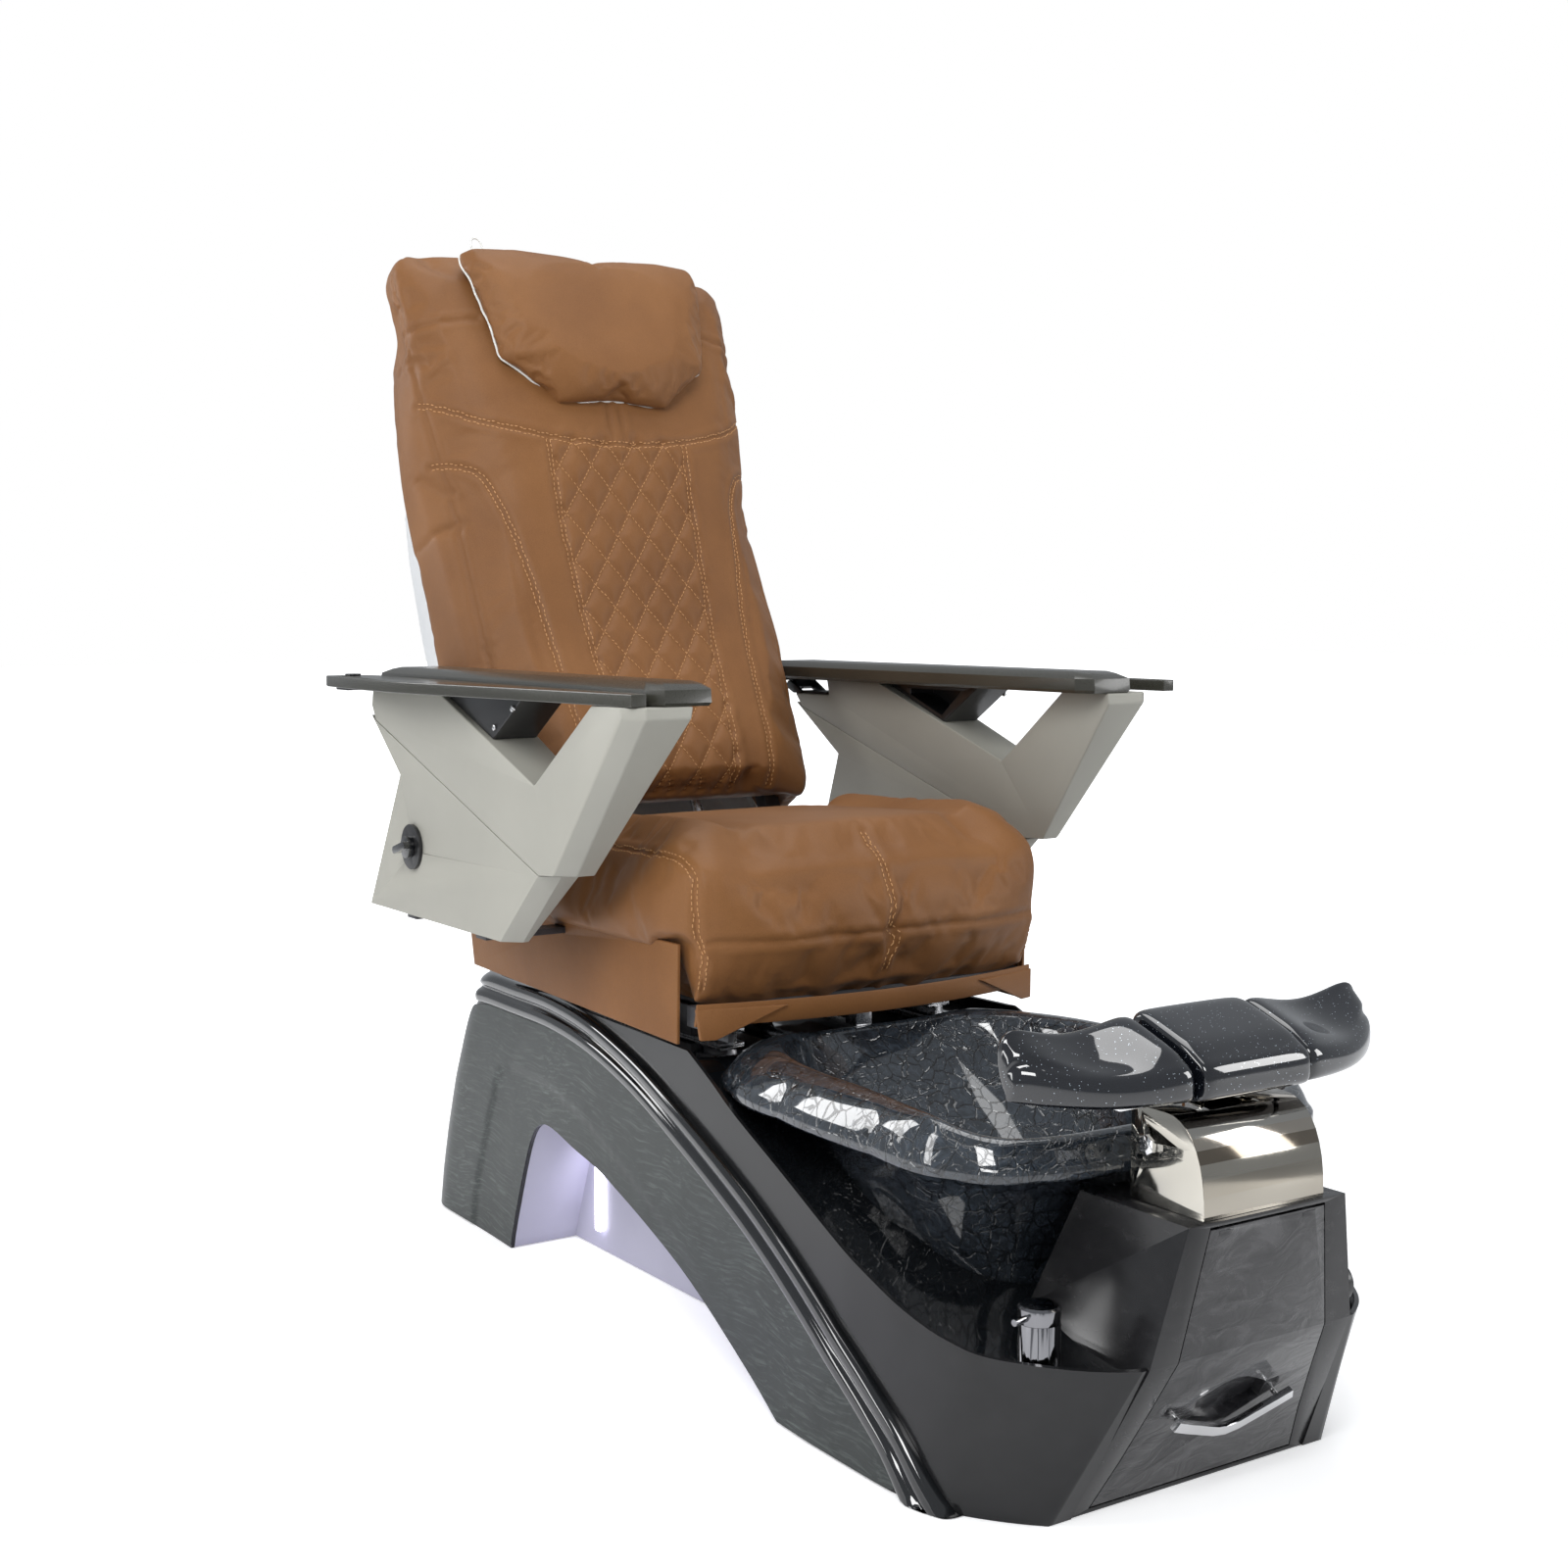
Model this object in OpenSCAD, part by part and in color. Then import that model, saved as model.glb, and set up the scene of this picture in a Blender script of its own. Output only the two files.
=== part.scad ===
// Pedicure spa chair: reclining massage seat with armrests over a foot basin.
// Frame: +Z up, floor at z = 0, the sitter faces -Y, "left" parts lie on the -X side.

/* [Base] */
// Widest half width of the base
base_half_w = 283; // [278:1:290]
// Rear end of the base on the floor, measured back from the origin
base_rear = 715; // [700:1:730]
// Front end of the base on the floor, measured forward from the origin
base_front = 715; // [705:1:725]
// How far the front wall leans forward between floor and ledge
front_lean = 83; // [78:1:88]
// Height of the deck plate that carries the seat
deck_z = 388; // [380:1:392]
// Height of the low ledge round the front of the basin
ledge_z = 177; // [168:1:180]
// Wall of the moulded base
base_wall = 5; // [4:0.5:7]
// Height of the deck rim above the black trough
rim_lip = 14; // [8:1:18]
// Thickness of the deck tray
deck_t = 5; // [4:0.5:6]
// Thickness of the side panels
panel_t = 4; // [3:0.5:6]
// Width of one ridge of the side rails
rail_w = 23; // [18:1:25]
// How far the rails stand out of the side wall
rail_out = 13; // [9:1:16]
// Depth of the side recess that holds the light bar
recess_x = 132; // [125:1:150]
// Height of the levelling feet
foot_h = 12; // [10:1:16]

/* [Basin] */
// Half width of the basin over its rim
basin_half_w = 281; // [272:1:283]
// Rear edge of the basin's rim, measured forward from the origin
basin_rear = 64; // [58:1:72]
// Height of the basin rim above the floor
basin_rim_z = 402; // [396:1:404]
// Height of the rim skirt
skirt_h = 57; // [52:1:58]
// Height of the basin floor, inside
basin_floor_z = 177; // [174:1:184]
// Thickness of the basin
basin_t = 10; // [8:1:11]
// Diameter of the drain
drain_d = 46; // [36:1:50]
// Diameter of the whirlpool jet
jet_d = 58; // [48:1:62]

/* [Front housing] */
// Height of the front housing
tower_z = 320; // [312:1:324]
// How much narrower than the base the housing is at its top, each side
tower_in_top = 171; // [168:1:176]
// How much narrower than the base the housing is at the ledge, each side
tower_in_mid = 138; // [135:1:144]
// How much narrower than the base the housing is at the floor, each side
tower_in_low = 113; // [110:1:118]
// Furthest forward edge of the housing, at its top
tower_nose = 818; // [814:1:820]
// Width of the frame beside the top of the access door
door_frame_top = 32; // [30:1:34]
// Width of the frame beside the foot of the access door
door_frame_low = 20; // [18:1:26]
// Thickness of the access door
door_t = 5; // [4:0.5:6]
// Half length of the door handle
handle_half = 84; // [78:1:90]

/* [Footrest] */
// Half width of the footrest
rest_half_w = 256; // [250:1:262]
// Half width of its middle band
band_half_w = 76; // [60:1:80]
// Half width of the chrome bracket
bracket_half_w = 86; // [80:1:92]
// Height of the bracket's curved cover
bracket_h = 100; // [94:1:101]
// Height of the tilt pin above the housing
tilt_rise = 62; // [58:1:66]
// Diameter of the tilt pin
tilt_pin_d = 12; // [10:1:16]

/* [Mixer tap] */
// Diameter of the mixer body
mixer_d = 44; // [36:1:48]
// Height of the mixer body
mixer_h = 34; // [28:1:44]

/* [Seat] */
// Half width of the seat over its bolsters
seat_half_w = 284; // [278:1:286]
// Height of the seat at its front edge
seat_z = 637; // [630:1:642]
// Rear end of the seat cushion
seat_rear = 300; // [290:1:304]
// Size of the square seat tubes
seat_tube = 25; // [20:1:25]
// Thickness of the leather skirt
skirt_t = 5; // [3:0.5:6]

/* [Backrest] */
// Lean of the backrest from upright
back_lean = 25.4; // [23:0.2:27]
// Length of the backrest above its pivot
back_len = 988; // [960:1:1000]
// Widest half width of the backrest
back_half_w = 296; // [288:1:300]
// Half width of the hollow that holds the massage unit
cavity_half_w = 215; // [208:1:218]
// Diameter of the recline shaft
recline_d = 14; // [12:1:18]
// Diameter of the massage guide rods
guide_d = 16; // [12:1:18]
// Diameter of the massage rollers
roller_d = 62; // [50:1:66]

/* [Arms] */
// Outer face of the arms, from the middle plane
arm_outer = 402; // [396:1:406]
// Inner face of the arms at their top, from the middle plane
arm_inner = 318; // [314:1:320]
// Wall of the arm mouldings
arm_wall = 4; // [3:0.5:5]
// Height of the armrest pads' underside
pad_z = 815; // [812:1:820]
// Thickness of the armrest pads
pad_t = 28; // [24:1:32]
// Half of the clear width between the pads
pad_inner = 280; // [276:1:286]
// Width of the armrest pads
pad_w = 90; // [80:1:92]
// Thickness of the manicure trays
tray_t = 15; // [12:1:17]
// Rest angle of the right tray
tray_turn_right = 3.5; // [0:0.5:8]
// Diameter of the side knob's plate
knob_plate_d = 62; // [56:1:70]

/* [Hidden] */
$fn = 48;

// Clearances
eps = 0.01;
fit = 0.3;
run = 0.05;

// Colours
satin_grey = [0.45, 0.46, 0.46];
gloss_black = [0.03, 0.03, 0.04];
steel = [0.35, 0.36, 0.38];
chrome = [0.85, 0.86, 0.88];
leather = [0.52, 0.31, 0.16];
arm_grey = [0.74, 0.73, 0.69];
pad_grey = [0.25, 0.25, 0.22];
black_plastic = [0.06, 0.06, 0.06];
slate = [0.12, 0.15, 0.19];

// ---------- helpers ----------
function mix(a, b, t) = a + (b - a) * t;
// Straight-line reading of a table of [key, value] rows
function read(tab, k, i = 0) =
    k <= tab[0][0] ? tab[0][1] :
    i >= len(tab) - 1 ? tab[len(tab) - 1][1] :
    k <= tab[i + 1][0] ? mix(tab[i][1], tab[i + 1][1], (k - tab[i][0]) / (tab[i + 1][0] - tab[i][0])) :
    read(tab, k, i + 1);
function spline(a, b, c, d, t) =
    0.5 * (2 * b + (c - a) * t + (2 * a - 5 * b + 4 * c - d) * t * t + (3 * b - a - 3 * c + d) * t * t * t);
// Smooth curve through points, n steps a span
function curve(p, n) = [for (i = [0:len(p) - 2]) for (k = [0:n - 1])
    spline(p[max(i - 1, 0)], p[i], p[i + 1], p[min(i + 2, len(p) - 1)], k / n), p[len(p) - 1]];
function unit(v) = v / norm(v);
// A curve moved sideways by d, to its left as it runs
function beside(p, d) = [for (i = [0:len(p) - 1])
    let (v = unit(p[min(i + 1, len(p) - 1)] - p[max(i - 1, 0)])) p[i] + d * [-v[1], v[0]]];
function reversed(p) = [for (i = [len(p) - 1:-1:0]) p[i]];
function bump(v) = v <= -1 || v >= 1 ? 0 : (1 - v * v) * (1 - v * v);
function step(v) = v <= 0 ? 0 : v >= 1 ? 1 : v * v * (3 - 2 * v);

// Closed skin over rings of equal length, each anticlockwise seen from the far end.
// Point number hub of the end rings sees all their other points.
module loft(rings, hub = 0) {
    n = len(rings[0]);
    m = len(rings);
    polyhedron(points = [for (r = rings) each r], faces = concat(
        [[for (i = [0:n - 1]) (i + hub) % n]],
        [[for (i = [n:-1:1]) (m - 1) * n + (i + hub) % n]],
        [for (j = [0:m - 2]) for (i = [0:n - 1]) each
            [[j * n + i, (j + 1) * n + i, (j + 1) * n + (i + 1) % n],
             [j * n + i, (j + 1) * n + (i + 1) % n, j * n + (i + 1) % n]]]), convexity = 8);
}
// Side outline [y, z] drawn across the width from x0 to x1
module across(outline, x0, x1) {
    translate([x0, 0, 0]) rotate([90, 0, 90]) linear_extrude(x1 - x0, convexity = 8) polygon(outline);
}
// Rod along X from x0 to x1
module rod_x(d, x0, x1, y, z) {
    translate([x0, y, z]) rotate([0, 90, 0]) cylinder(d = d, h = x1 - x0);
}
module box(a, b) {
    translate(a) cube(b - a);
}
module right() {
    mirror([1, 0, 0]) children();
}
module both() {
    children();
    right() children();
}

// ---------- base ----------
rear_tab = [[0, 0], [60, -12], [128, -31], [211, -60], [300, -103], [335, -125], [366, -159], [400, -215]];
// Plan outline of the base: share of its length from the rear, narrowing at the floor and at the ledge
half_tab = [[0, -78, -78], [0.012, -62, -62], [0.035, -50, -50], [0.15, -46, -46], [0.3, -35, -35],
    [0.5, -21, -21], [0.65, -11, -11], [0.78, -1, -1], [0.84, 0, -3], [0.88, 0, -9], [0.905, -2, -16],
    [0.92, -6, -25], [0.935, -11, -38], [0.955, -28, -55], [0.975, -49, -79], [0.99, -67, -103], [1, -83, -130]];
base_levels = [0, 60, 128, ledge_z, 211, 300, 335, 366, 400];
function base_y(z, t, off) = mix(base_rear + read(rear_tab, z) + off,
    -base_front - front_lean * min(z, ledge_z) / ledge_z - off, t);
function base_half(z, r, off) = base_half_w + mix(r[1], r[2], min(z, ledge_z) / ledge_z) + off;
// Left half of the plan outline at height z
function base_ring(z, off) = concat([for (r = half_tab) [-base_half(z, r, off), base_y(z, r[0], off), z]],
    [[eps, base_y(z, 1, off), z], [eps, base_y(z, 0, off), z]]);
module base_body(off) {
    both() loft([for (z = base_levels) base_ring(z, off)]);
}
// Upper edge of the base seen from the side
edge_line = curve([[-110, deck_z], [-170, deck_z - 26], [-230, deck_z - 55], [-342, deck_z - 100],
    [-447, ledge_z + 68], [-541, ledge_z + 33], [-600, ledge_z + 15], [-645, ledge_z + 6],
    [-680, ledge_z + 0.8], [-725, ledge_z], [-850, ledge_z]], 2);
function below_edge(drop, floor) = concat([[760, floor], [760, deck_z - drop]],
    [for (p = edge_line) [p[0], p[1] - drop]], [[-850, floor]]);
// Middle line of the double rail
rail_line = curve([[560, 366], [500, 371], [390, 371], [270, 371], [150, 360], [27, 334], [-82, 299],
    [-230, 243], [-321, 202], [-408, 156], [-488, 108], [-560, 58], [-602, 14], [-630, -20]], 2);
function rail_band(a, b) = concat(beside(rail_line, a), reversed(beside(rail_line, b)));
arch_line = concat([[424, -20]], curve([[420, 0], [408, 40], [370, 135], [345, 182], [318, 204], [280, 208],
    [210, 196], [100, 177], [-100, 118], [-262, 45], [-345, 0]], 2), [[-365, -20]]);
panel_rear = 24;
function panel_edge(z) = [base_rear + read(rear_tab, z) - panel_rear, z];
function panel_outline() = concat([[base_rear - panel_rear, 3], panel_edge(128), panel_edge(211), panel_edge(300),
    [base_rear + read(rear_tab, 335) - panel_rear - 12, 330]],
    [for (p = beside(rail_line, rail_w + 2)) if (p[0] < 520 && p[1] > 3) p], [[-560, 3]]);

module arch_cut(x0, x1, grow = 0) {
    across(grow == 0 ? arch_line : beside(arch_line, -grow), x0, x1);
}
// Outer envelope of the front housing, grown by off
function tower_ring(z, hf, yf, hr, yr, off) =
    [[-hr - off, yr + off, z], [-hf - off, yf - off, z], [hf + off, yf - off, z], [hr + off, yr + off, z]];
tower_half_top = base_half_w - tower_in_top;
tower_half_mid = base_half_w - tower_in_mid;
tower_half_low = base_half_w - tower_in_low;
tower_rear_low = -tower_nose + 240;
tower_rear_top = -tower_nose + 162;
// How far the crease lies behind the top edge, and how far the foot lies behind the base's front
tower_set = 18;
tower_toe = 2;
module tower_body(off, z0) {
    loft([for (z = z0 < 0 ? [z0, 0] : [0])
            tower_ring(z, tower_half_low, -base_front + tower_toe, tower_half_low - 20, tower_rear_low, off),
        tower_ring(ledge_z, tower_half_mid, -tower_nose + tower_set, tower_half_mid - 33, tower_rear_low, off),
        tower_ring(tower_z + off, tower_half_top, -tower_nose, tower_half_top - 2, tower_rear_top, off)]);
}

module base_shell() {
    color(satin_grey) difference() {
        intersection() {
            base_body(0);
            across(below_edge(0, -1), -400, 400);
        }
        intersection() {
            base_body(-base_wall);
            across([[760, -1], [760, deck_z + 20], [-850, deck_z + 20], [-850, -1]], -400, 400);
        }
        both() translate([0, 0, -eps]) linear_extrude(1) polygon([for (p = base_ring(0, -base_wall)) [p[0], p[1]]]);
        arch_cut(-400, 400);
        tower_body(fit, -5);
    }
}
// Black tray: flat under the seat, a sloping trough round the basin, a ledge in front
module deck_tray() {
    color(gloss_black) difference() {
        intersection() {
            base_body(-base_wall - fit);
            difference() {
                across(below_edge(rim_lip, 20), -400, 400);
                across(below_edge(rim_lip + deck_t, -20), -401, 401);
            }
        }
        tower_body(fit, -5);
        basin_solid(fit);
        box([-70, 20, deck_z - 60], [70, 330, deck_z + 20]);
        translate([mixer_x, mixer_y, 0]) cylinder(d = mixer_thread_d + 2 * fit, h = deck_z);
    }
}
module side_panel() {
    color([0.47, 0.49, 0.48]) difference() {
        intersection() {
            difference() {
                base_body(panel_t);
                base_body(fit);
            }
            across(panel_outline(), -400, 0);
        }
        arch_cut(-401, 1);
    }
}
module side_rails() {
    color(gloss_black) intersection() {
        difference() {
            union() {
                intersection() {
                    base_body(rail_out);
                    union() {
                        across(rail_band(2, rail_w), -400, 0);
                        across(rail_band(-rail_w, -2), -400, 0);
                    }
                }
                intersection() {
                    base_body(rail_out - 6);
                    across(rail_band(-rail_w, rail_w), -400, 0);
                }
            }
            base_body(fit);
        }
        box([-400, -700, 0], [0, 555, 390]);
    }
}
// White box behind the side opening; the light bar lies on its rear wall
module recess_liner() {
    color([0.85, 0.83, 0.92]) difference() {
        intersection() {
            base_body(-base_wall - fit);
            arch_cut(-400, -recess_x, 3);
            box([-400, -400, 1], [0, 500, 300]);
        }
        arch_cut(-401, -recess_x - 3);
    }
}
led_w = 14;
module light_bars() {
    color([0.95, 0.93, 1]) both() box([-recess_x - 13, 330, 30], [-recess_x - 3, 330 + led_w, 150]);
}
rail_tube = 40;
frame_z = 24;
module chassis_frame() {
    x_rail = 96;
    color(steel) difference() {
        union() {
            both() box([-x_rail - 14, -560, frame_z], [-x_rail + 16, 640, frame_z + rail_tube]);
            for (y = [-560, -250, 220, 600]) box([-x_rail, y, frame_z], [x_rail, y + 40, frame_z + rail_tube]);
            both() for (y = [60, 420]) box([-x_rail - 14, y, frame_z + rail_tube], [-x_rail + 16, y + 30, post_top]);
            box([-x_rail - 14, 420, post_top - 26], [x_rail + 14, 450, post_top]);
            box([-x_rail - 14, 60, post_top - 26], [x_rail + 14, 90, post_top]);
        }
        for (f = feet) translate([f[0], f[1], frame_z - eps]) cylinder(d = foot_stud + 2 * run, h = 25);
    }
}
post_top = deck_z - rim_lip - deck_t - fit;
foot_stud = 10;
feet = [for (x = [-97, 97]) for (y = [-500, 0, 560]) [x, y]];
module levelling_feet() {
    color(black_plastic) for (f = feet) translate([f[0], f[1], 0]) {
        cylinder(d = 38, h = foot_h);
        cylinder(d = foot_stud, h = frame_z + 20);
        translate([0, 0, foot_h]) cylinder(d = 18, h = frame_z - foot_h, $fn = 6);
    }
}

// ---------- basin ----------
bracket_rear = -tower_nose + 112;
basin_gap = 4;
basin_front = bracket_rear + basin_gap;
basin_y = -(basin_rear - basin_front) / 2;
basin_len = (-basin_rear - basin_front) / 2;
// Rounded oblong in plan: n sets its squareness, egg makes its front fuller than its rear
plan_v = [0, 0.2, 0.4, 0.6, 0.75, 0.86, 0.93, 0.972, 0.993, 1];
plan_side = concat([for (i = [0:8]) [1, plan_v[i]]], [for (i = [9:-1:1]) [-1, plan_v[i]]],
    [for (i = [0:8]) [-1, -plan_v[i]]], [for (i = [9:-1:1]) [1, -plan_v[i]]]);
function oblong(hw, hl, cy, z, egg, n) = [for (q = plan_side)
    let (v = abs(q[1]), s = sign(q[1]) * pow(v, n / 2))
    [q[0] * hw * pow(max(0, 1 - pow(v, n)), 1 / n) * (1 - egg * s), cy + hl * q[1], z]];
sump_y = basin_y - 79;
basin_waist_z = mix(basin_floor_z, basin_rim_z, 0.324);
// Body ring: shares of the half width and half length, centre, height
function bowl_ring(w, l, cy, z, off) = oblong(w * basin_half_w + off, l * basin_len + off, cy, z, 0.16, 2.78);
// Rim ring: f runs from the outer edge (0) to the inner edge (1); the rim dips towards the housing
rim_dip = 16;
// At the rear it is lower, below the seat's slide rod
rear_dip = 12;
rim_low_z = basin_rim_z - skirt_h;
function rim_ring(f, z, off) = [for (p = oblong(basin_half_w - mix(8, 59, f) + off, basin_len - 47 * f + off,
        basin_y - 12 * f, z, mix(0.1, 0.3, f), 4))
    [p[0], p[1], p[2] - step((z - rim_low_z - 10) / 30)
        * (rim_dip * step((basin_y - 177 - p[1]) / 110) + rear_dip * step((p[1] - basin_y - 236) / 40))]];
module basin_solid(off) {
    loft([bowl_ring(0.424, 0.326, sump_y, basin_floor_z - basin_t - off, off),
        bowl_ring(0.66, 0.495, basin_y - 45, basin_waist_z - 6, off),
        bowl_ring(0.795, 0.765, basin_y - 9, rim_low_z - 7 - off, off),
        rim_ring(0.1, rim_low_z - off, off),
        rim_ring(0, rim_low_z + 5, off),
        rim_ring(0.02, rim_low_z + 16, off),
        rim_ring(0.3, basin_rim_z - 15, off),
        rim_ring(0.58, basin_rim_z - 4 + off, off),
        rim_ring(0.84, basin_rim_z + off, off)], hub = 9);
}
drain_pos = [-56, sump_y];
jet_pos = [44, sump_y];
module basin() {
    color(slate) difference() {
        basin_solid(0);
        loft([bowl_ring(0.397, 0.295, sump_y, basin_floor_z, 0),
            bowl_ring(0.62, 0.457, basin_y - 45, basin_waist_z, 0),
            bowl_ring(0.748, 0.727, basin_y - 9, rim_low_z + 2, 0),
            rim_ring(1.1, basin_rim_z - 12, 0),
            rim_ring(1, basin_rim_z - 2, 0),
            [for (p = rim_ring(0.98, basin_rim_z, 0)) [p[0], p[1], basin_rim_z + 1]]], hub = 9);
        translate([drain_pos[0], drain_pos[1], basin_floor_z - basin_t - 1]) cylinder(d = drain_d, h = basin_t + 2);
        translate([jet_pos[0], jet_pos[1], basin_floor_z - basin_t - 1]) cylinder(d = jet_d, h = basin_t + 2);
    }
}
flange = 5;
module drain_strainer() {
    color(chrome) translate([drain_pos[0], drain_pos[1], 0]) difference() {
        union() {
            translate([0, 0, basin_floor_z + fit]) cylinder(d = drain_d + 2 * flange, h = 2.5);
            translate([0, 0, basin_floor_z - basin_t - 4]) cylinder(d = drain_d - 2 * fit, h = basin_t + 5);
        }
        for (a = [0:60:300]) rotate(a) translate([drain_d / 4, 0, 0]) cylinder(d = 6, h = 300);
        translate([0, 0, basin_floor_z - basin_t - 5]) cylinder(d = drain_d - 8, h = basin_t);
    }
}
module drain_pump() {
    top = basin_floor_z - basin_t - 4 - fit;
    color(black_plastic) translate([drain_pos[0], drain_pos[1], 0]) {
        translate([0, 0, top - 26]) cylinder(d = drain_d, h = 26);
        translate([0, 0, frame_z + rail_tube + fit])
            cylinder(d = 64, h = top - 26 - frame_z - rail_tube - fit + eps);
        rotate([90, 0, 0]) translate([0, 100, 0]) cylinder(d = 22, h = 62);
    }
}
jet_plate = 4;
module jet_cover() {
    color(chrome) translate([jet_pos[0], jet_pos[1], 0]) difference() {
        union() {
            translate([0, 0, basin_floor_z + fit]) cylinder(d = jet_d + 2 * flange, h = jet_plate);
            difference() {
                translate([0, 0, basin_floor_z - basin_t - 2]) cylinder(d = jet_d - 2 * fit, h = basin_t + 4);
                translate([0, 0, basin_floor_z - basin_t - 3]) cylinder(d = jet_d - 6, h = basin_t + 3);
            }
        }
        for (a = [0:45:315]) rotate(a) translate([jet_d * 0.3, 0, 0]) cylinder(d = 7, h = 300);
    }
}
shaft_d = 8;
module jet_impeller() {
    z0 = basin_floor_z - basin_t - 10;
    color([0.8, 0.8, 0.82]) translate([jet_pos[0], jet_pos[1], 0]) {
        translate([0, 0, z0 - 24]) cylinder(d = shaft_d, h = 40);
        translate([0, 0, z0 + 8]) cylinder(d = 16, h = 8);
        for (a = [0:60:300]) rotate(a) translate([6, -1, z0 + 9]) cube([jet_d / 2 - 12, 2, 6]);
    }
}
module jet_motor() {
    top = basin_floor_z - basin_t - 10;
    color(steel) translate([jet_pos[0], jet_pos[1], 0]) difference() {
        union() {
            translate([0, 0, frame_z + rail_tube + fit]) cylinder(d = 60, h = top - frame_z - rail_tube - fit);
            translate([0, 0, top - 4]) cylinder(d = jet_d + 18, h = 4);
            for (a = [45:90:315]) rotate(a) translate([jet_d / 2 + 5, 0, top]) cylinder(d = 6, h = 10 - fit);
        }
        translate([0, 0, top - 30]) cylinder(d = shaft_d + 2 * run, h = 40);
    }
}

// ---------- front housing ----------
door_top_z = tower_z - 8;
door_gap = 1.5;
door_top_gap = 3;
// Front face of the housing at height z
function face_y(z) = z < ledge_z ? mix(-base_front + tower_toe, -tower_nose + tower_set, z / ledge_z) :
    mix(-tower_nose + tower_set, -tower_nose, (z - ledge_z) / (tower_z - ledge_z));
function door_half(z) = mix(tower_half_low - door_frame_low, tower_half_top - door_frame_top, pow(z / tower_z, 0.75));
module door_body(in, out, off, z0, z1) {
    loft([for (z = [z0, ledge_z * 0.35, ledge_z * 0.7, ledge_z, mix(ledge_z, tower_z, 0.5), z1])
        [[-door_half(z) - off, face_y(z) + in, z], [-door_half(z) - off, face_y(z) - out, z],
         [door_half(z) + off, face_y(z) - out, z], [door_half(z) + off, face_y(z) + in, z]]]);
}
module front_housing() {
    color([0.36, 0.35, 0.36]) difference() {
        union() {
            difference() {
                tower_body(0, 0);
                difference() {
                    tower_body(-base_wall, -1);
                    box([-400, -900, tower_z - base_wall - fit], [400, 0, 500]);
                }
                translate([0, 0, -5]) linear_extrude(5.01) square(2000, center = true);
                door_body(door_t + 12, 2, door_gap, 6, door_top_z + door_top_gap);
            }
            both() box([-pin_half - 4, hinge_yz[0] - 3, hinge_yz[1] - 6],
                [-door_half(hinge_yz[1]) - door_gap, hinge_yz[0] + 8, tower_z - 1]);
        }
        rod_x(hinge_pin_d + 2 * run, -pin_half - 1, pin_half + 1, hinge_yz[0], hinge_yz[1]);
        rod_x(knob_stem + 2 * run, 60, 400, knob_yz[0], knob_yz[1]);
        rod_x(lever_stem + 2 * run, 60, 400, lever_yz[0], lever_yz[1]);
        for (x = [-60, 60]) translate([x, bracket_rear - 40, tower_z - 20]) cylinder(d = 8.4, h = 40);
    }
}
hinge_yz = [face_y(door_top_z) + 4.5, door_top_z - 3.5];
module access_door() {
    color([0.40, 0.39, 0.40]) difference() {
        union() {
            door_body(door_t, 0, 0, 8, door_top_z);
            for (x = [-60, 60]) hull() {
                rod_x(knuckle_d, x - 9, x + 9, hinge_yz[0], hinge_yz[1]);
                box([x - 9, face_y(door_top_z) + door_t - 2, hinge_yz[1] - 14],
                    [x + 9, face_y(door_top_z) + door_t, hinge_yz[1]]);
            }
            on_low_face() translate([0, 0, -pocket_deep - 3]) linear_extrude(pocket_deep) offset(3) pocket_outline();
        }
        rod_x(hinge_pin_d + 2 * run, -pin_half, pin_half, hinge_yz[0], hinge_yz[1]);
        on_low_face() translate([0, 0, -pocket_deep]) linear_extrude(pocket_deep + 10) pocket_outline();
    }
}
hinge_pin_d = 4;
module door_hinge_pin() {
    color(chrome) rod_x(hinge_pin_d, -pin_half, pin_half, hinge_yz[0], hinge_yz[1]);
}
knuckle_d = 9;
pin_half = door_half(hinge_yz[1]) + 12;
pocket_deep = 12;
handle_z = 92;
handle_dip = 14;
handle_w = 12;
handle_line = curve([[-handle_half, 14], [-handle_half * 0.6, 1], [0, -handle_dip], [handle_half * 0.6, 1],
    [handle_half, 14]], 3);
lean_low = atan((tower_nose - tower_set - base_front + tower_toe) / ledge_z);
// Places a flat drawing on the lower, backward-sloping face of the door
module on_low_face() {
    translate([0, face_y(handle_z), handle_z]) rotate([90 + lean_low, 0, 0]) children();
}
// Eye-shaped finger pocket above the handle
module pocket_outline() {
    polygon(concat([for (p = beside(handle_line, 6)) if (abs(p[0]) < handle_half * 0.72) p],
        reversed([for (p = handle_line) if (abs(p[0]) < handle_half * 0.72)
            [p[0], 34 - p[1] * 0.9 - 14 * pow(p[0] / handle_half, 2)]])));
}
module door_handle() {
    color(chrome) on_low_face() {
        translate([0, 0, 8]) linear_extrude(7) polygon(concat(beside(handle_line, handle_w / 2),
            reversed(beside(handle_line, -handle_w / 2))));
        for (x = [-handle_half * 0.84, handle_half * 0.84]) translate([x, 8, 0.1]) cylinder(d = 6, h = 8);
    }
}
knob_yz = [-tower_nose + 48, 205];
knob_stem = 8;
lever_yz = [-tower_nose + 43, 257];
lever_stem = 4;
function tower_side_x(z) = mix(tower_half_mid, tower_half_top, (z - ledge_z) / (tower_z - ledge_z));
module water_knob() {
    x = tower_half_mid;
    color(black_plastic) {
        rod_x(44, x, x + 14, knob_yz[0], knob_yz[1]);
        rod_x(16, x - 2.5, x + 1, knob_yz[0], knob_yz[1]);
        rod_x(knob_stem, x - 50, x + 1, knob_yz[0], knob_yz[1]);
    }
}
module drain_lever() {
    x = tower_side_x(lever_yz[1]);
    color(black_plastic) {
        rod_x(lever_stem, x - 38, x + 28, lever_yz[0], lever_yz[1]);
        rod_x(6, x + 20, x + 28, lever_yz[0], lever_yz[1]);
    }
}

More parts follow.
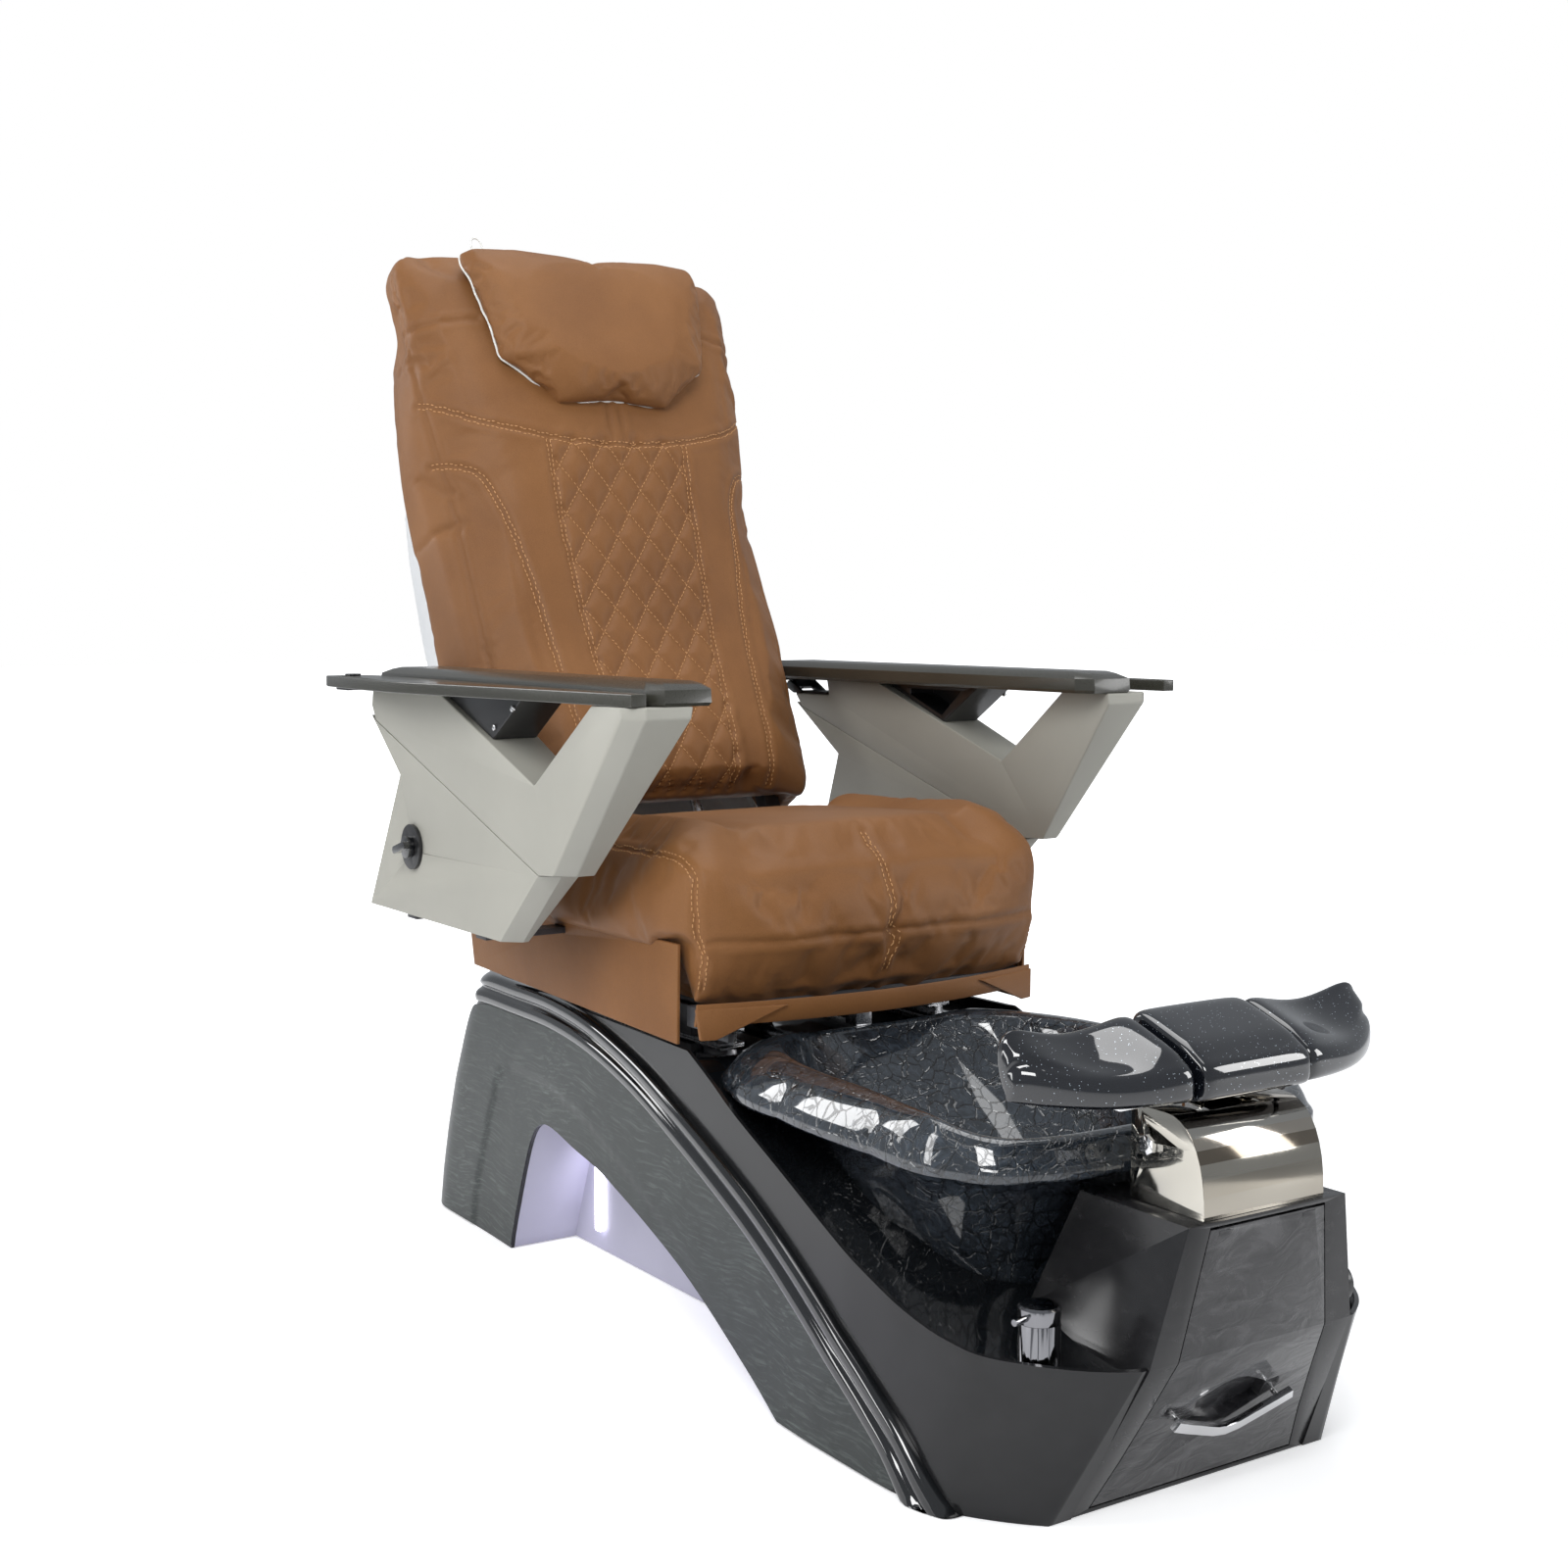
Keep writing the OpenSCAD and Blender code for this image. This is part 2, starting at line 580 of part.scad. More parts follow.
// ---------- footrest ----------
tilt_yz = [bracket_rear - 28, tower_z + tilt_rise];
bracket_deep = 106;
bracket_nose = 60;
// Side outline of the bracket: a rounded hood in front of an upright rear, shrunk by k
function bracket_line(k) = concat([[bracket_rear - k, tower_z + fit], [bracket_rear - k, tower_z + bracket_h - 8 - k],
    [bracket_rear - 12, tower_z + bracket_h - k]],
    [for (a = [90:-10:0]) [bracket_rear - bracket_deep + bracket_nose - (bracket_nose - k) * pow(cos(a), 0.85),
        tower_z + fit + (bracket_h - fit - k) * pow(sin(a), 0.85)]]);
module footrest_bracket() {
    color(chrome) difference() {
        across(bracket_line(0), -bracket_half_w, bracket_half_w);
        intersection() {
            across(bracket_line(bracket_wall), -bracket_half_w + bracket_wall, bracket_half_w - bracket_wall);
            box([-200, -900, tower_z + fit + 4], [200, 0, 500]);
        }
        box([-arm_half, tilt_yz[0] - 34, tower_z + bracket_h * 0.5], [arm_half, bracket_rear + 20, tower_z + 200]);
        rod_x(tilt_pin_d + 2 * run, -200, 200, tilt_yz[0], tilt_yz[1]);
        for (x = [-60, 60]) translate([x, bracket_rear - 40, tower_z - 20]) cylinder(d = 8.4, h = 60);
    }
}
bracket_wall = 5;
arm_half = 36;
module footrest_pin() {
    head = 22;
    color(chrome) {
        rod_x(tilt_pin_d, -bracket_half_w - 1, bracket_half_w + 1, tilt_yz[0], tilt_yz[1]);
        both() translate([-bracket_half_w - 6 - fit, tilt_yz[0], tilt_yz[1]]) rotate([0, 90, 0])
            cylinder(d = head, h = 6, $fn = 6);
    }
}
// Footrest section at x: swept-back ends, a dip for each foot
function rest_front(x) = bracket_rear - 92 + 74 * pow(abs(x) / rest_half_w, 3.4);
function rest_low(x) = rest_z + 10 * pow(max(0, abs(x) - 150) / (rest_half_w - 150), 2);
rest_z = tilt_yz[1] + 52;
function rest_dip(x) = 15 * bump((abs(x) - 172) / 84);
rest_rear = bracket_rear + 18;
function rest_ring(x, s) = let (yf = rest_front(x), yr = rest_rear, zl = rest_low(x), d = rest_dip(x),
        zf = zl + 42 - d * 0.5, zr = zl + 78 - d * 0.7, cy = (yf + yr) / 2)
    [for (p = [[yf + 8, zl], [yf, zl + 10], [yf, zf - 12], [yf + 5, zf - 3], [yf + 14, zf + 3],
        [mix(yf, yr, 0.4), mix(zf, zr, 0.4) + 3 - d * 0.6], [mix(yf, yr, 0.75), mix(zf, zr, 0.78) + 3 - d * 0.3],
        [yr - 10, zr], [yr, zr - 8], [yr, zr - 22], [yr - 8, zl + 24], [yr - 26, zl]])
        [x, cy + (p[0] - cy) * s, zl + (p[1] - zl) * s]];
lobe_x = [-rest_half_w, -rest_half_w + 3, -rest_half_w + 11, -rest_half_w + 28, -206, -172, -138, -108,
    -band_half_w - 12, -band_half_w - 5];
lobe_s = [0.84, 0.93, 0.985, 1, 1, 1, 1, 1, 0.99, 0.93];
plate_half = 148;
module footrest_lobe() {
    color(gloss_black) loft([for (i = [0:len(lobe_x) - 1]) reversed(rest_ring(lobe_x[i], lobe_s[i]))], hub = 2);
}
band_x = [-1, -0.94, -0.7, -0.3, 0.3, 0.7, 0.94, 1];
band_s = [0.94, 0.99, 1.03, 1.05, 1.05, 1.03, 0.99, 0.94];
module footrest_band() {
    color(gloss_black) loft([for (i = [0:len(band_x) - 1])
        [for (p = reversed(rest_ring(0, band_s[i]))) [band_x[i] * band_half_w, p[1] - 3, p[2]]]]);
}
module footrest_arm() {
    color(steel) difference() {
        union() {
            hull() {
                rod_x(tilt_pin_d + 16, -arm_half + 10, arm_half - 10, tilt_yz[0], tilt_yz[1]);
                box([-arm_half + 10, tilt_yz[0] - 16, rest_z - 6], [arm_half - 10, tilt_yz[0] + 16, rest_z - 2]);
            }
            box([-plate_half, tilt_yz[0] - 22, rest_z - 5], [plate_half, tilt_yz[0] + 18, rest_z - fit]);
        }
        rod_x(tilt_pin_d + 2 * run, -200, 200, tilt_yz[0], tilt_yz[1]);
    }
}

// ---------- mixer tap ----------
mixer_x = -base_half_w + 78;
mixer_y = -base_front + 12;
mixer_thread_d = 20;
module mixer_body() {
    z0 = ledge_z - rim_lip + 1.4;
    color(chrome) translate([mixer_x, mixer_y, 0]) difference() {
        union() {
            translate([0, 0, z0]) cylinder(d = mixer_d + 3, h = 3);
            translate([0, 0, z0]) cylinder(d = mixer_d, h = ledge_z + mixer_h - z0);
            translate([0, 0, z0 - deck_t - 15]) cylinder(d = mixer_thread_d, h = 24);
            translate([0, 0, z0 - deck_t - 10]) cylinder(d = 30, h = 8, $fn = 6);
        }
        translate([0, 0, ledge_z + mixer_h - 14]) cylinder(d = 12 + 2 * run, h = 20);
    }
}
module mixer_lever() {
    z0 = ledge_z + mixer_h + fit;
    color(chrome) translate([mixer_x, mixer_y, 0]) {
        translate([0, 0, z0]) cylinder(d = mixer_d, h = 15);
        translate([0, 0, z0 + 15 - eps]) cylinder(d1 = mixer_d, d2 = mixer_d - 5, h = 2.5);
        translate([0, 0, z0 - 12]) cylinder(d = 12, h = 14);
        translate([0, 0, z0 + 8]) rotate([0, -90, 12]) cylinder(d = 7, h = mixer_d / 2 + 19);
    }
}

// ---------- seat ----------
rail_x = 165;
rail_h = 22;
rail_y0 = -62;
rail_z0 = deck_z - rim_lip + fit;
runner_z0 = rail_z0 + rail_h + fit;
tube_z0 = 418;
module seat_rails() {
    color(steel) both() difference() {
        box([-rail_x - 18, rail_y0, rail_z0], [-rail_x + 18, 500, rail_z0 + rail_h]);
        box([-rail_x - 18 - 1, rail_y0 - 1, rail_z0 + 4], [-rail_x - 7, 501, rail_z0 + rail_h - 6]);
        box([-rail_x + 7, rail_y0 - 1, rail_z0 + 4], [-rail_x + 18 + 1, 501, rail_z0 + rail_h - 6]);
    }
}
motor_z = 402;
module slide_motor() {
    color(black_plastic) difference() {
        union() {
            translate([0, 110, motor_z]) rotate([-90, 0, 0]) cylinder(d = 26, h = 250);
            box([-16, 352, rail_z0], [16, 396, motor_z + 13]);
            box([-50, 356, rail_z0], [50, 392, rail_z0 + 8]);
            box([-16, 120, rail_z0 - rim_lip - 30], [16, 180, motor_z - 6]);
        }
        translate([0, 100, motor_z]) rotate([-90, 0, 0]) cylinder(d = rod_d + 2 * run, h = 240);
    }
}
rod_d = 14;
module slide_rod() {
    color(chrome) {
        translate([0, -96, motor_z]) rotate([-90, 0, 0]) cylinder(d = rod_d, h = 330);
        translate([0, -118, motor_z - 10]) rotate([-90, 0, 0]) box([-12, -tube_z0 + motor_z - 10 + fit, 0], [12, 0, 24]);
    }
}
frame_y0 = -130;
frame_y1 = 440;
hinge_x = 250;
pivot_yz = [345, 560];
module seat_frame() {
    z1 = tube_z0 + seat_tube;
    color(steel) difference() {
        union() {
            both() box([-rail_x - 14, frame_y0, tube_z0], [-rail_x + 14, frame_y1, z1]);
            for (y = [frame_y0, 60, frame_y1 - seat_tube])
                box([-hinge_x - 8, y, tube_z0], [hinge_x + 8, y + seat_tube, z1]);
            both() for (y = [0, 330]) {
                box([-rail_x - 24, y, runner_z0], [-rail_x + 24, y + 60, tube_z0 + eps]);
                box([-rail_x - 24, y, rail_z0 + 5], [-rail_x - 19, y + 60, tube_z0 + eps]);
                box([-rail_x - 24, y, rail_z0 + 5], [-rail_x - 8, y + 60, rail_z0 + rail_h - 7]);
                box([-rail_x + 19, y, rail_z0 + 5], [-rail_x + 24, y + 60, tube_z0 + eps]);
                box([-rail_x + 8, y, rail_z0 + 5], [-rail_x + 24, y + 60, rail_z0 + rail_h - 7]);
            }
            both() {
                across([[312, tube_z0], [pivot_yz[0] - 20, pivot_yz[1]], [pivot_yz[0] - 14, pivot_yz[1] + 16],
                    [pivot_yz[0] + 14, pivot_yz[1] + 16], [pivot_yz[0] + 20, pivot_yz[1]], [frame_y1, tube_z0 + 12],
                    [frame_y1, tube_z0]], -hinge_x - 8, -hinge_x);
                box([-hinge_x - 8, 240, tube_z0], [-hinge_x, frame_y1, z1]);
                // stays that carry the arms
                for (y = [180, 400]) {
                    box([-arm_outer + 12, y, stay_z], [-hinge_x - 7, y + 30, stay_z + 8]);
                    box([-hinge_x - 8, y, tube_z0], [-hinge_x, y + 30, stay_z + 8]);
                }
                box([-hinge_x - 8, 60, tube_z0], [-hinge_x, 260, tube_z0 + 12]);
            }
        }
        rod_x(recline_d + 2 * run, -300, 300, pivot_yz[0], pivot_yz[1]);
    }
}
arm_low_z = 505;
stay_z = arm_low_z - 8 - fit;
board_z = tube_z0 + seat_tube;
// Side outline of the cushion at x, scaled about its middle by s
function seat_top(x, y) = seat_z - 14 * step((y + 126) / 380)
    + 16 * step((abs(x) - 176) / 60) * step((y + 190) / 120) - 6 * bump((abs(x) - 178) / 14) + 3 * (1 - pow(x / seat_half_w, 2));
function seat_front(x) = -160 - 30 * (1 - pow(abs(x) / seat_half_w, 2));
function seat_upper_ring(x, s) = let (yf = seat_front(x), cy = 60, cz = 572)
    [for (p = [[yf + 9, 521], [seat_rear, 521], [seat_rear, 600], [seat_rear - 8, seat_top(x, 290) - 6],
        [seat_rear - 30, seat_top(x, 270)], [200, seat_top(x, 200)], [120, seat_top(x, 120)],
        [40, seat_top(x, 40)], [-40, seat_top(x, -40)], [-90, seat_top(x, -90)],
        [yf + 60, seat_top(x, -130) - 1], [yf + 28, seat_z - 7], [yf + 10, seat_z - 19],
        [yf + 2, seat_z - 38], [yf, seat_z - 70], [yf + 4, 540]])
        [x, cy + (p[0] - cy) * (0.4 + 0.6 * s), cz + (p[1] - cz) * s]];
seat_stations = [-1, -0.985, -0.95, -0.88, -0.78, -0.7, -0.63, -0.5, -0.25, 0, 0.25, 0.5, 0.63, 0.7, 0.78, 0.88,
    0.95, 0.985, 1];
module seat_cushion() {
    low_w = hinge_x - fit;
    color(leather) union() {
        loft([for (u = seat_stations)
            seat_upper_ring(u * seat_half_w, pow(1 - pow(abs(u), 30) * 0.6, 0.5))]);
        loft([for (r = [[board_z + fit, 16, 17], [480, 7, 8], [523, 7, 0]])
            concat([[-low_w, 296, r[0]], [-low_w, -60, r[0]]],
                [for (u = [-1, -0.9, -0.65, -0.35, 0, 0.35, 0.65, 0.9, 1])
                    [u * (skirt_x - fit), seat_front(u * skirt_x) + r[1] + r[2] * u * u, r[0]]],
                [[low_w, -60, r[0]], [low_w, 296, r[0]]])], hub = 6);
    }
}
skirt_x = seat_half_w - 14;
skirt_top = 520.5;
module seat_skirt() {
    color([0.50, 0.29, 0.15]) difference() {
        union() {
            both() across([[461, 414], [480, 500], [480, skirt_top - 2], [292, skirt_top], [-112, skirt_top], [-109, 397]],
                -skirt_x - skirt_t, -skirt_x);
            // corner tabs under the front edge
            both() loft([[[-skirt_x + 10, -136, 405], [-skirt_x + 10, -136 - skirt_t, 405],
                    [-skirt_x + 30, -142 - skirt_t, 405], [-skirt_x + 30, -142, 405]],
                [[-skirt_x + 6, -132, board_z], [-skirt_x + 6, -132 - skirt_t, board_z],
                    [-skirt_x + 120, -164 - skirt_t, board_z], [-skirt_x + 120, -164, board_z]]]);
        }
        both() for (y = [180, 400]) box([-skirt_x - 20, y - fit, stay_z - fit],
            [-skirt_x + 20, y + 30 + fit, stay_z + 8 + fit]);
    }
}

// ---------- arms ----------
notch = [16, 711];
limb_top = pad_z - fit;
limb_top_y = 290;
arm_bevel = 22;
hinge_seat_z = 790;
arm_slant = 0.176;
// The arms narrow towards their foot: their inner face at height z
function arm_in(z) = arm_inner + arm_slant * (812 - z);
// Extruded outline whose front edge is bevelled on the outer side; front marks the bevelled points
module bevelled(outline, front, hub) {
    back = len(outline) - 1;
    loft([for (k = [0:2]) [for (i = [back:-1:0])
        let (p = outline[i], d = front[i] == 1 && k == 0 ? arm_bevel * 0.95 : 0)
        [k == 0 ? -arm_outer : k == 1 ? -arm_outer + arm_bevel : -arm_in(p[1]), p[0] + d, p[1]]]], hub);
}
// Hollow of an arm moulding, open where its two shells meet
module arm_hollow(outline, hub) {
    loft([for (k = [0, 1]) [for (i = [len(outline) - 1:-1:0])
        let (p = outline[i]) [k == 0 ? -arm_outer + arm_wall : -arm_in(p[1]) - arm_wall, p[0], p[1]]]], hub);
}
module arm_frame() {
    color(arm_grey) difference() {
        bevelled([[505, 769.25], [8, 600.9], [-52, 604], [-222, limb_top - 14], [-222, limb_top], [-132, limb_top],
            notch, [limb_top_y, limb_top], [512, limb_top], [518, hinge_seat_z]], [0, 0, 1, 1, 1, 0, 0, 0, 0, 0], 8);
        arm_hollow([[470, 752], [20, 600], [20, 614], [-10, 622], [-184, limb_top - 10], [-140, limb_top - 10], [14, 699],
            [limb_top_y - 4, limb_top - 8], [406, limb_top - 8], [414, hinge_seat_z - 6], [470, hinge_seat_z - 6]], 8);
        box([-arm_outer + 10, 424, hinge_seat_z], [-200, 530, pad_z + 10]);
    }
}
module arm_cover(hub) {
    color([0.76, 0.75, 0.71]) difference() {
        bevelled([[93, arm_low_z], [-14, 600.3], [8, 600.5], [507, 769.5], [518, 776], [421, 697], [532, arm_low_z]],
            [1, 1, 0, 0, 0, 0, 0], 6);
        arm_hollow([[134, 509], [34, 598], [60, 623], [470, 762], [412, 697], [524, 509]], 5);
        if (hub) rod_x(knob_hub + 2 * fit, -arm_outer - 1, -arm_outer + 20, knob_at[0], knob_at[1]);
    }
}
arm_hinge_yz = [532, 803];
arm_pin_d = 8;
ear_x = [-370, -326];
module armrest_hinges() {
    color(black_plastic) both() difference() {
        union() {
            box([ear_x[0], 430, hinge_seat_z + fit], [ear_x[1] + 3, 520, hinge_seat_z + 4]);
            for (x = ear_x) hull() {
                rod_x(14, x, x + 6, arm_hinge_yz[0], arm_hinge_yz[1]);
                box([x, 500, hinge_seat_z + fit], [x + 6, 520, hinge_seat_z + 4]);
            }
            rod_x(arm_pin_d, ear_x[0], ear_x[1] + 6, arm_hinge_yz[0], arm_hinge_yz[1]);
        }
        for (y = [445, 490]) translate([ear_x[0] + 22, y, hinge_seat_z - 10]) cylinder(d = 5.2, h = 30);
    }
}
prop_in = 8;
prop_bolts = [[84, 802], [136, 776]];
// Height of the rear limb's upper edge, with the seating gap
function limb_edge(y) = mix(notch[1], limb_top, (y - notch[0]) / (limb_top_y - notch[0])) + fit + 0.02;
module armrest_props() {
    color(black_plastic) both() difference() {
        across([[272, limb_top], [62, limb_top], [145, limb_edge(145)], [272, limb_edge(272)]],
            -arm_outer + prop_in, -arm_outer + 70);
        across([[225, limb_top - 8], [104, limb_top - 8], [150, limb_edge(150) + 8], [225, limb_edge(225) + 8]],
            -arm_outer + 26, -arm_outer + 71);
    }
}
pad_y0 = -224;
pad_y1 = 563;
module armrest_pad() {
    x0 = -pad_inner - pad_w;
    x1 = -pad_inner;
    color(pad_grey) difference() {
        loft([for (r = [[0, 0, 2], [4, -2, 0], [pad_t - 9, -1, 0], [pad_t - 3, 8, 8], [pad_t, 20, 14]])
            let (z = pad_z + r[0], rear = pad_y1 - r[1] - r[2] - r[0] * 0.5, nose = pad_y0 + 4 + r[1] * 1.6,
                side = pad_y0 + 26 + r[1])
            [[x0 + r[2], rear, z], [x0 + r[2], side, z], [x0 + r[2] + 14, nose, z],
             [x1 - r[2] - 14, nose, z], [x1 - r[2], side, z], [x1 - r[2], rear, z]]]);
        for (y = [528, 552]) translate([-pad_inner - 62, y, pad_z - 1]) cylinder(d = 5, h = 12);
    }
}
tray_pivot = [-420, 540];
module armrest_lug() {
    color(black_plastic) difference() {
        union() {
            box([tray_pivot[0] - 18, 516, pad_z - 4], [-pad_inner - 16, 558, pad_z - eps]);
            hull() {
                rod_x(15, ear_x[0] + 6 + fit, ear_x[1] - fit, arm_hinge_yz[0], arm_hinge_yz[1]);
                box([ear_x[0] + 6 + fit, 522, pad_z - 4], [ear_x[1] - fit, 542, pad_z - 3]);
            }
            translate([tray_pivot[0], tray_pivot[1], pad_z - 4]) cylinder(d = 10, h = tray_t + 4 + 2 * fit);
            translate([tray_pivot[0], tray_pivot[1], pad_z + tray_t + 2 * fit]) cylinder(d = 22, h = 3);
        }
        rod_x(arm_pin_d + 2 * run, -400, -200, arm_hinge_yz[0], arm_hinge_yz[1]);
        for (y = [528, 552]) translate([-pad_inner - 62, y, pad_z - 20]) cylinder(d = 5, h = 40);
    }
}
tray_outline = concat([[-376, -216], [-396, -216]],
    curve([[-400, -176], [-426, 50], [-456, 260], [-461, 350], [-458, 460], [-450, 560]], 2),
    [[-442, 586], [-420, 588], [-400, 584], [-382, 568], [-376, 545]]);
module tray() {
    color(pad_grey) difference() {
        translate([0, 0, pad_z + fit]) linear_extrude(tray_t) polygon(tray_outline);
        translate([tray_pivot[0], tray_pivot[1], pad_z - 2]) cylinder(d = 10 + 2 * run, h = 40);
    }
}
knob_at = [379, 601];
knob_hub = 12;
module arm_knob_plate() {
    color(black_plastic) difference() {
        union() {
            rod_x(knob_plate_d, -arm_outer - 5, -arm_outer - fit, knob_at[0], knob_at[1]);
            rod_x(knob_hub, -arm_outer - 5, -arm_outer + 12, knob_at[0], knob_at[1]);
        }
        rod_x(7 + 2 * run, -arm_outer - 6, -arm_outer + 13, knob_at[0], knob_at[1]);
    }
}
module arm_knob() {
    color(gloss_black) {
        rod_x(7, -arm_outer - 10, -arm_outer + 12, knob_at[0], knob_at[1]);
        rod_x(30, -arm_outer - 13, -arm_outer - 5 - fit, knob_at[0], knob_at[1]);
        hull() for (y = [-15, 15]) rod_x(10, -arm_outer - 23, -arm_outer - 12, knob_at[0] + y, knob_at[1] - y * 0.3);
    }
}

// ---------- backrest, drawn upright about its pivot, then leant ----------
module leant() {
    translate([0, pivot_yz[0], pivot_yz[1]]) rotate([-back_lean, 0, 0]) children();
}
module recline_motor() {
    color(steel) difference() {
        union() {
            rod_x(50, -hinge_x - 8 - fit - 34, -hinge_x - 8 - fit, pivot_yz[0], pivot_yz[1]);
            translate([-hinge_x - 8 - fit - 17, pivot_yz[0], pivot_yz[1]]) rotate([-90, 0, 0]) cylinder(d = 32, h = 92);
        }
        rod_x(recline_d + 2 * run, -hinge_x - 26, 0, pivot_yz[0], pivot_yz[1]);
    }
}
back_x = 236;
module back_frame() {
    color(steel) leant() difference() {
        union() {
            both() box([-post_x, 22, 12], [-post_x + 25, 47, 790]);
            for (z = [12, 765]) box([-post_x, 22, z], [post_x, 47, z + 25]);
            both() across([[-16, -16], [16, -16], [47, 10], [47, 37], [10, 37], [-16, 16]], -back_x - 8, -back_x);
            both() box([-back_x - 1, 22, 12], [-post_x + 1, 47, 37]);
            for (z = [guide_z0, guide_z1 - 12]) box([-130, 46, z], [130, 72, z + 12]);
            both() rod_x(recline_d, -hinge_x - 24, -back_x, 0, 0);
        }
        both() translate([-guide_x, guide_y, 0]) cylinder(d = guide_d + 2 * run, h = 800);
    }
}
post_x = cavity_half_w - fit;
guide_x = 90;
guide_y = 60;
guide_z0 = 25;
guide_z1 = 777;
shell_w = 245;
back_rear_tab = [[60, 118], [150, 132], [376, 135], [560, 127], [703, 106], [745, 96], [826, 71], [857, 34],
    [1000, 6]];
shell_rear_tab = [[62, 150], [200, 196], [409, 209], [600, 192], [703, 172], [742, 130]];
function shell_ring(z, off) = let (yf = read(back_rear_tab, z) + (off == 0 ? fit : -20),
    yr = read(shell_rear_tab, z) - off, w = shell_w - off - 30 * step((z - 600) / 150))
    [[-w, yf, z], [w, yf, z], [w, yr - 26, z], [w - 32, yr, z], [-w + 32, yr, z], [-w, yr - 26, z]];
shell_z = [100, 150, 230, 304, 376, 450, 523, 560, 632, 703];
module back_shell() {
    color([0.80, 0.80, 0.80]) leant() difference() {
        loft([for (z = concat([62], shell_z, [742])) shell_ring(z, 0)]);
        loft([for (z = concat([66], shell_z, [736])) shell_ring(z, 4)]);
    }
}
// Height, and how much narrower than its widest the backrest is there
half_tab_back = [[62, 64], [90, 58], [337, 34], [537, 30], [714, 15], [850, 4], [920, 0], [960, 8], [988, 34]];
front_tab = [[62, -44], [337, -36], [537, -34], [714, -46], [963, -56]];
centre_tab = [[62, -52], [160, -64], [328, -56], [519, -74], [656, -98], [800, -104], [940, -96], [1000, -70]];
function back_half(z) = back_half_w - read(half_tab_back, z);
function quilt(x, z) = abs(x) > 104 || z < 90 || z > 640 ? 0 :
    -3.5 * pow(abs(sin((x / 52 + z / 74) * 180)) * abs(sin((x / 52 - z / 74) * 180)), 0.5) + 3.5;
seam_tab = [[62, 150], [320, 186], [520, 210], [720, 228], [1000, 236]];
function back_front(x, z) = let (w = back_half(z), e = read(front_tab, z), c = read(centre_tab, z),
        u = min(1, abs(x) / w), s = read(seam_tab, z))
    mix(e, c, pow(1 - pow(u, 2.6), 0.8)) + 7 * bump((abs(x) - s) / 14)
        + 7 * bump((abs(x) - 112) / 12) * (z < 660 ? 1 : 0) + quilt(x, z);
back_u = [-0.985, -0.94, -0.88, -0.82, -0.77, -0.72, -0.6, -0.48, -0.43, -0.38, -0.28, -0.19, -0.095, 0, 0.095,
    0.19, 0.28, 0.38, 0.43, 0.48, 0.6, 0.72, 0.77, 0.82, 0.88, 0.94, 0.985];
function back_ring(z, s) = let (w = back_half(z) * (0.9 + 0.1 * s), r = read(back_rear_tab, z), m = r * 0.35)
    concat([for (u = back_u) [u * w, mix(m, back_front(u * w, z), s), z]],
        [for (p = [[w, read(front_tab, z) + 14], [w, r - 16], [w - 16, r], [-w + 16, r], [-w, r - 16],
            [-w, read(front_tab, z) + 14]]) [p[0], mix(m, p[1], s), z]]);
back_z = [62, 72, 100, 125, 150, 190, 230, 267, 304, 340, 376, 413, 450, 486, 523, 560, 596, 632, 668, 703, 745, 785,
    826, 857, 900, 940, 964, 980, back_len];
module back_cushion() {
    color(leather) leant() difference() {
        loft([for (z = back_z) back_ring(z,
            z < 66 ? 0.8 : z < 80 ? 0.94 : z > 985 ? 0.45 : z > 970 ? 0.75 : z > 950 ? 0.92 : 1)], hub = 29);
        box([-cavity_half_w, 0, 40], [cavity_half_w, 300, 800]);
    }
}
pillow_tab = [[676, 100], [690, 112], [748, 184], [760, 187], [900, 212], [927, 214], [940, 206]];
module headrest_pillow() {
    color([0.55, 0.33, 0.17]) leant() loft([for (z = [676, 680, 690, 710, 748, 760, 800, 840, 880, 910, 930, 938, 942])
        let (s = pow(max(0, 1 - pow(abs(z - 809) / 134, 7)), 0.4), w = read(pillow_tab, z),
            y0 = pillow_back - 2)
        concat([for (u = [-1, -0.9, -0.6, -0.3, 0, 0.3, 0.6, 0.9, 1])
                [u * w, y0 - 3 - (10 + 36 * s) * pow(1 - pow(abs(u), 5), 0.45), z]],
            [[w, y0, z], [-w, y0, z]])]);
}
pillow_back = -101.7;
module massage_rods() {
    color(chrome) leant() both() translate([-guide_x, guide_y, guide_z0]) cylinder(d = guide_d, h = guide_z1 - guide_z0);
}
carriage_z = 360;
roller_x = 52;
roller_w = 18;
roller_y = 34;
roller_z = carriage_z + 70;
axle_d = 10;
module massage_carriage() {
    color(black_plastic) leant() difference() {
        union() {
            box([-114, 48, carriage_z + 30], [114, 86, carriage_z + 110]);
            box([-30, 86, carriage_z + 34], [30, 118, carriage_z + 96]);
            both() box([-roller_x + 18, roller_y - 10, roller_z - 14], [-roller_x + 26, 49, roller_z + 14]);
            rod_x(axle_d, -roller_x - 16, roller_x + 16, roller_y, roller_z);
        }
        both() translate([-guide_x, guide_y, 0]) cylinder(d = guide_d + 2 * run, h = 800);
        both() difference() {
            rod_x(roller_d + 5, -roller_x - roller_w / 2 - 3, -roller_x + roller_w / 2 + 3, roller_y, roller_z);
            rod_x(axle_d, -roller_x - 16, roller_x + 16, roller_y, roller_z);
        }
    }
}
module massage_rollers() {
    color([0.2, 0.2, 0.2]) leant() both() difference() {
        rod_x(roller_d, -roller_x - roller_w / 2, -roller_x + roller_w / 2, roller_y, roller_z);
        rod_x(axle_d + 2 * run, -roller_x - 20, 0, roller_y, roller_z);
    }
}
module frame_bolts() {
    color(chrome) both() {
        for (p = prop_bolts) translate([-arm_outer + prop_in - 3.5, p[0], p[1]]) rotate([0, 90, 0])
            cylinder(d = 9, h = 3.2, $fn = 6);
    }
}

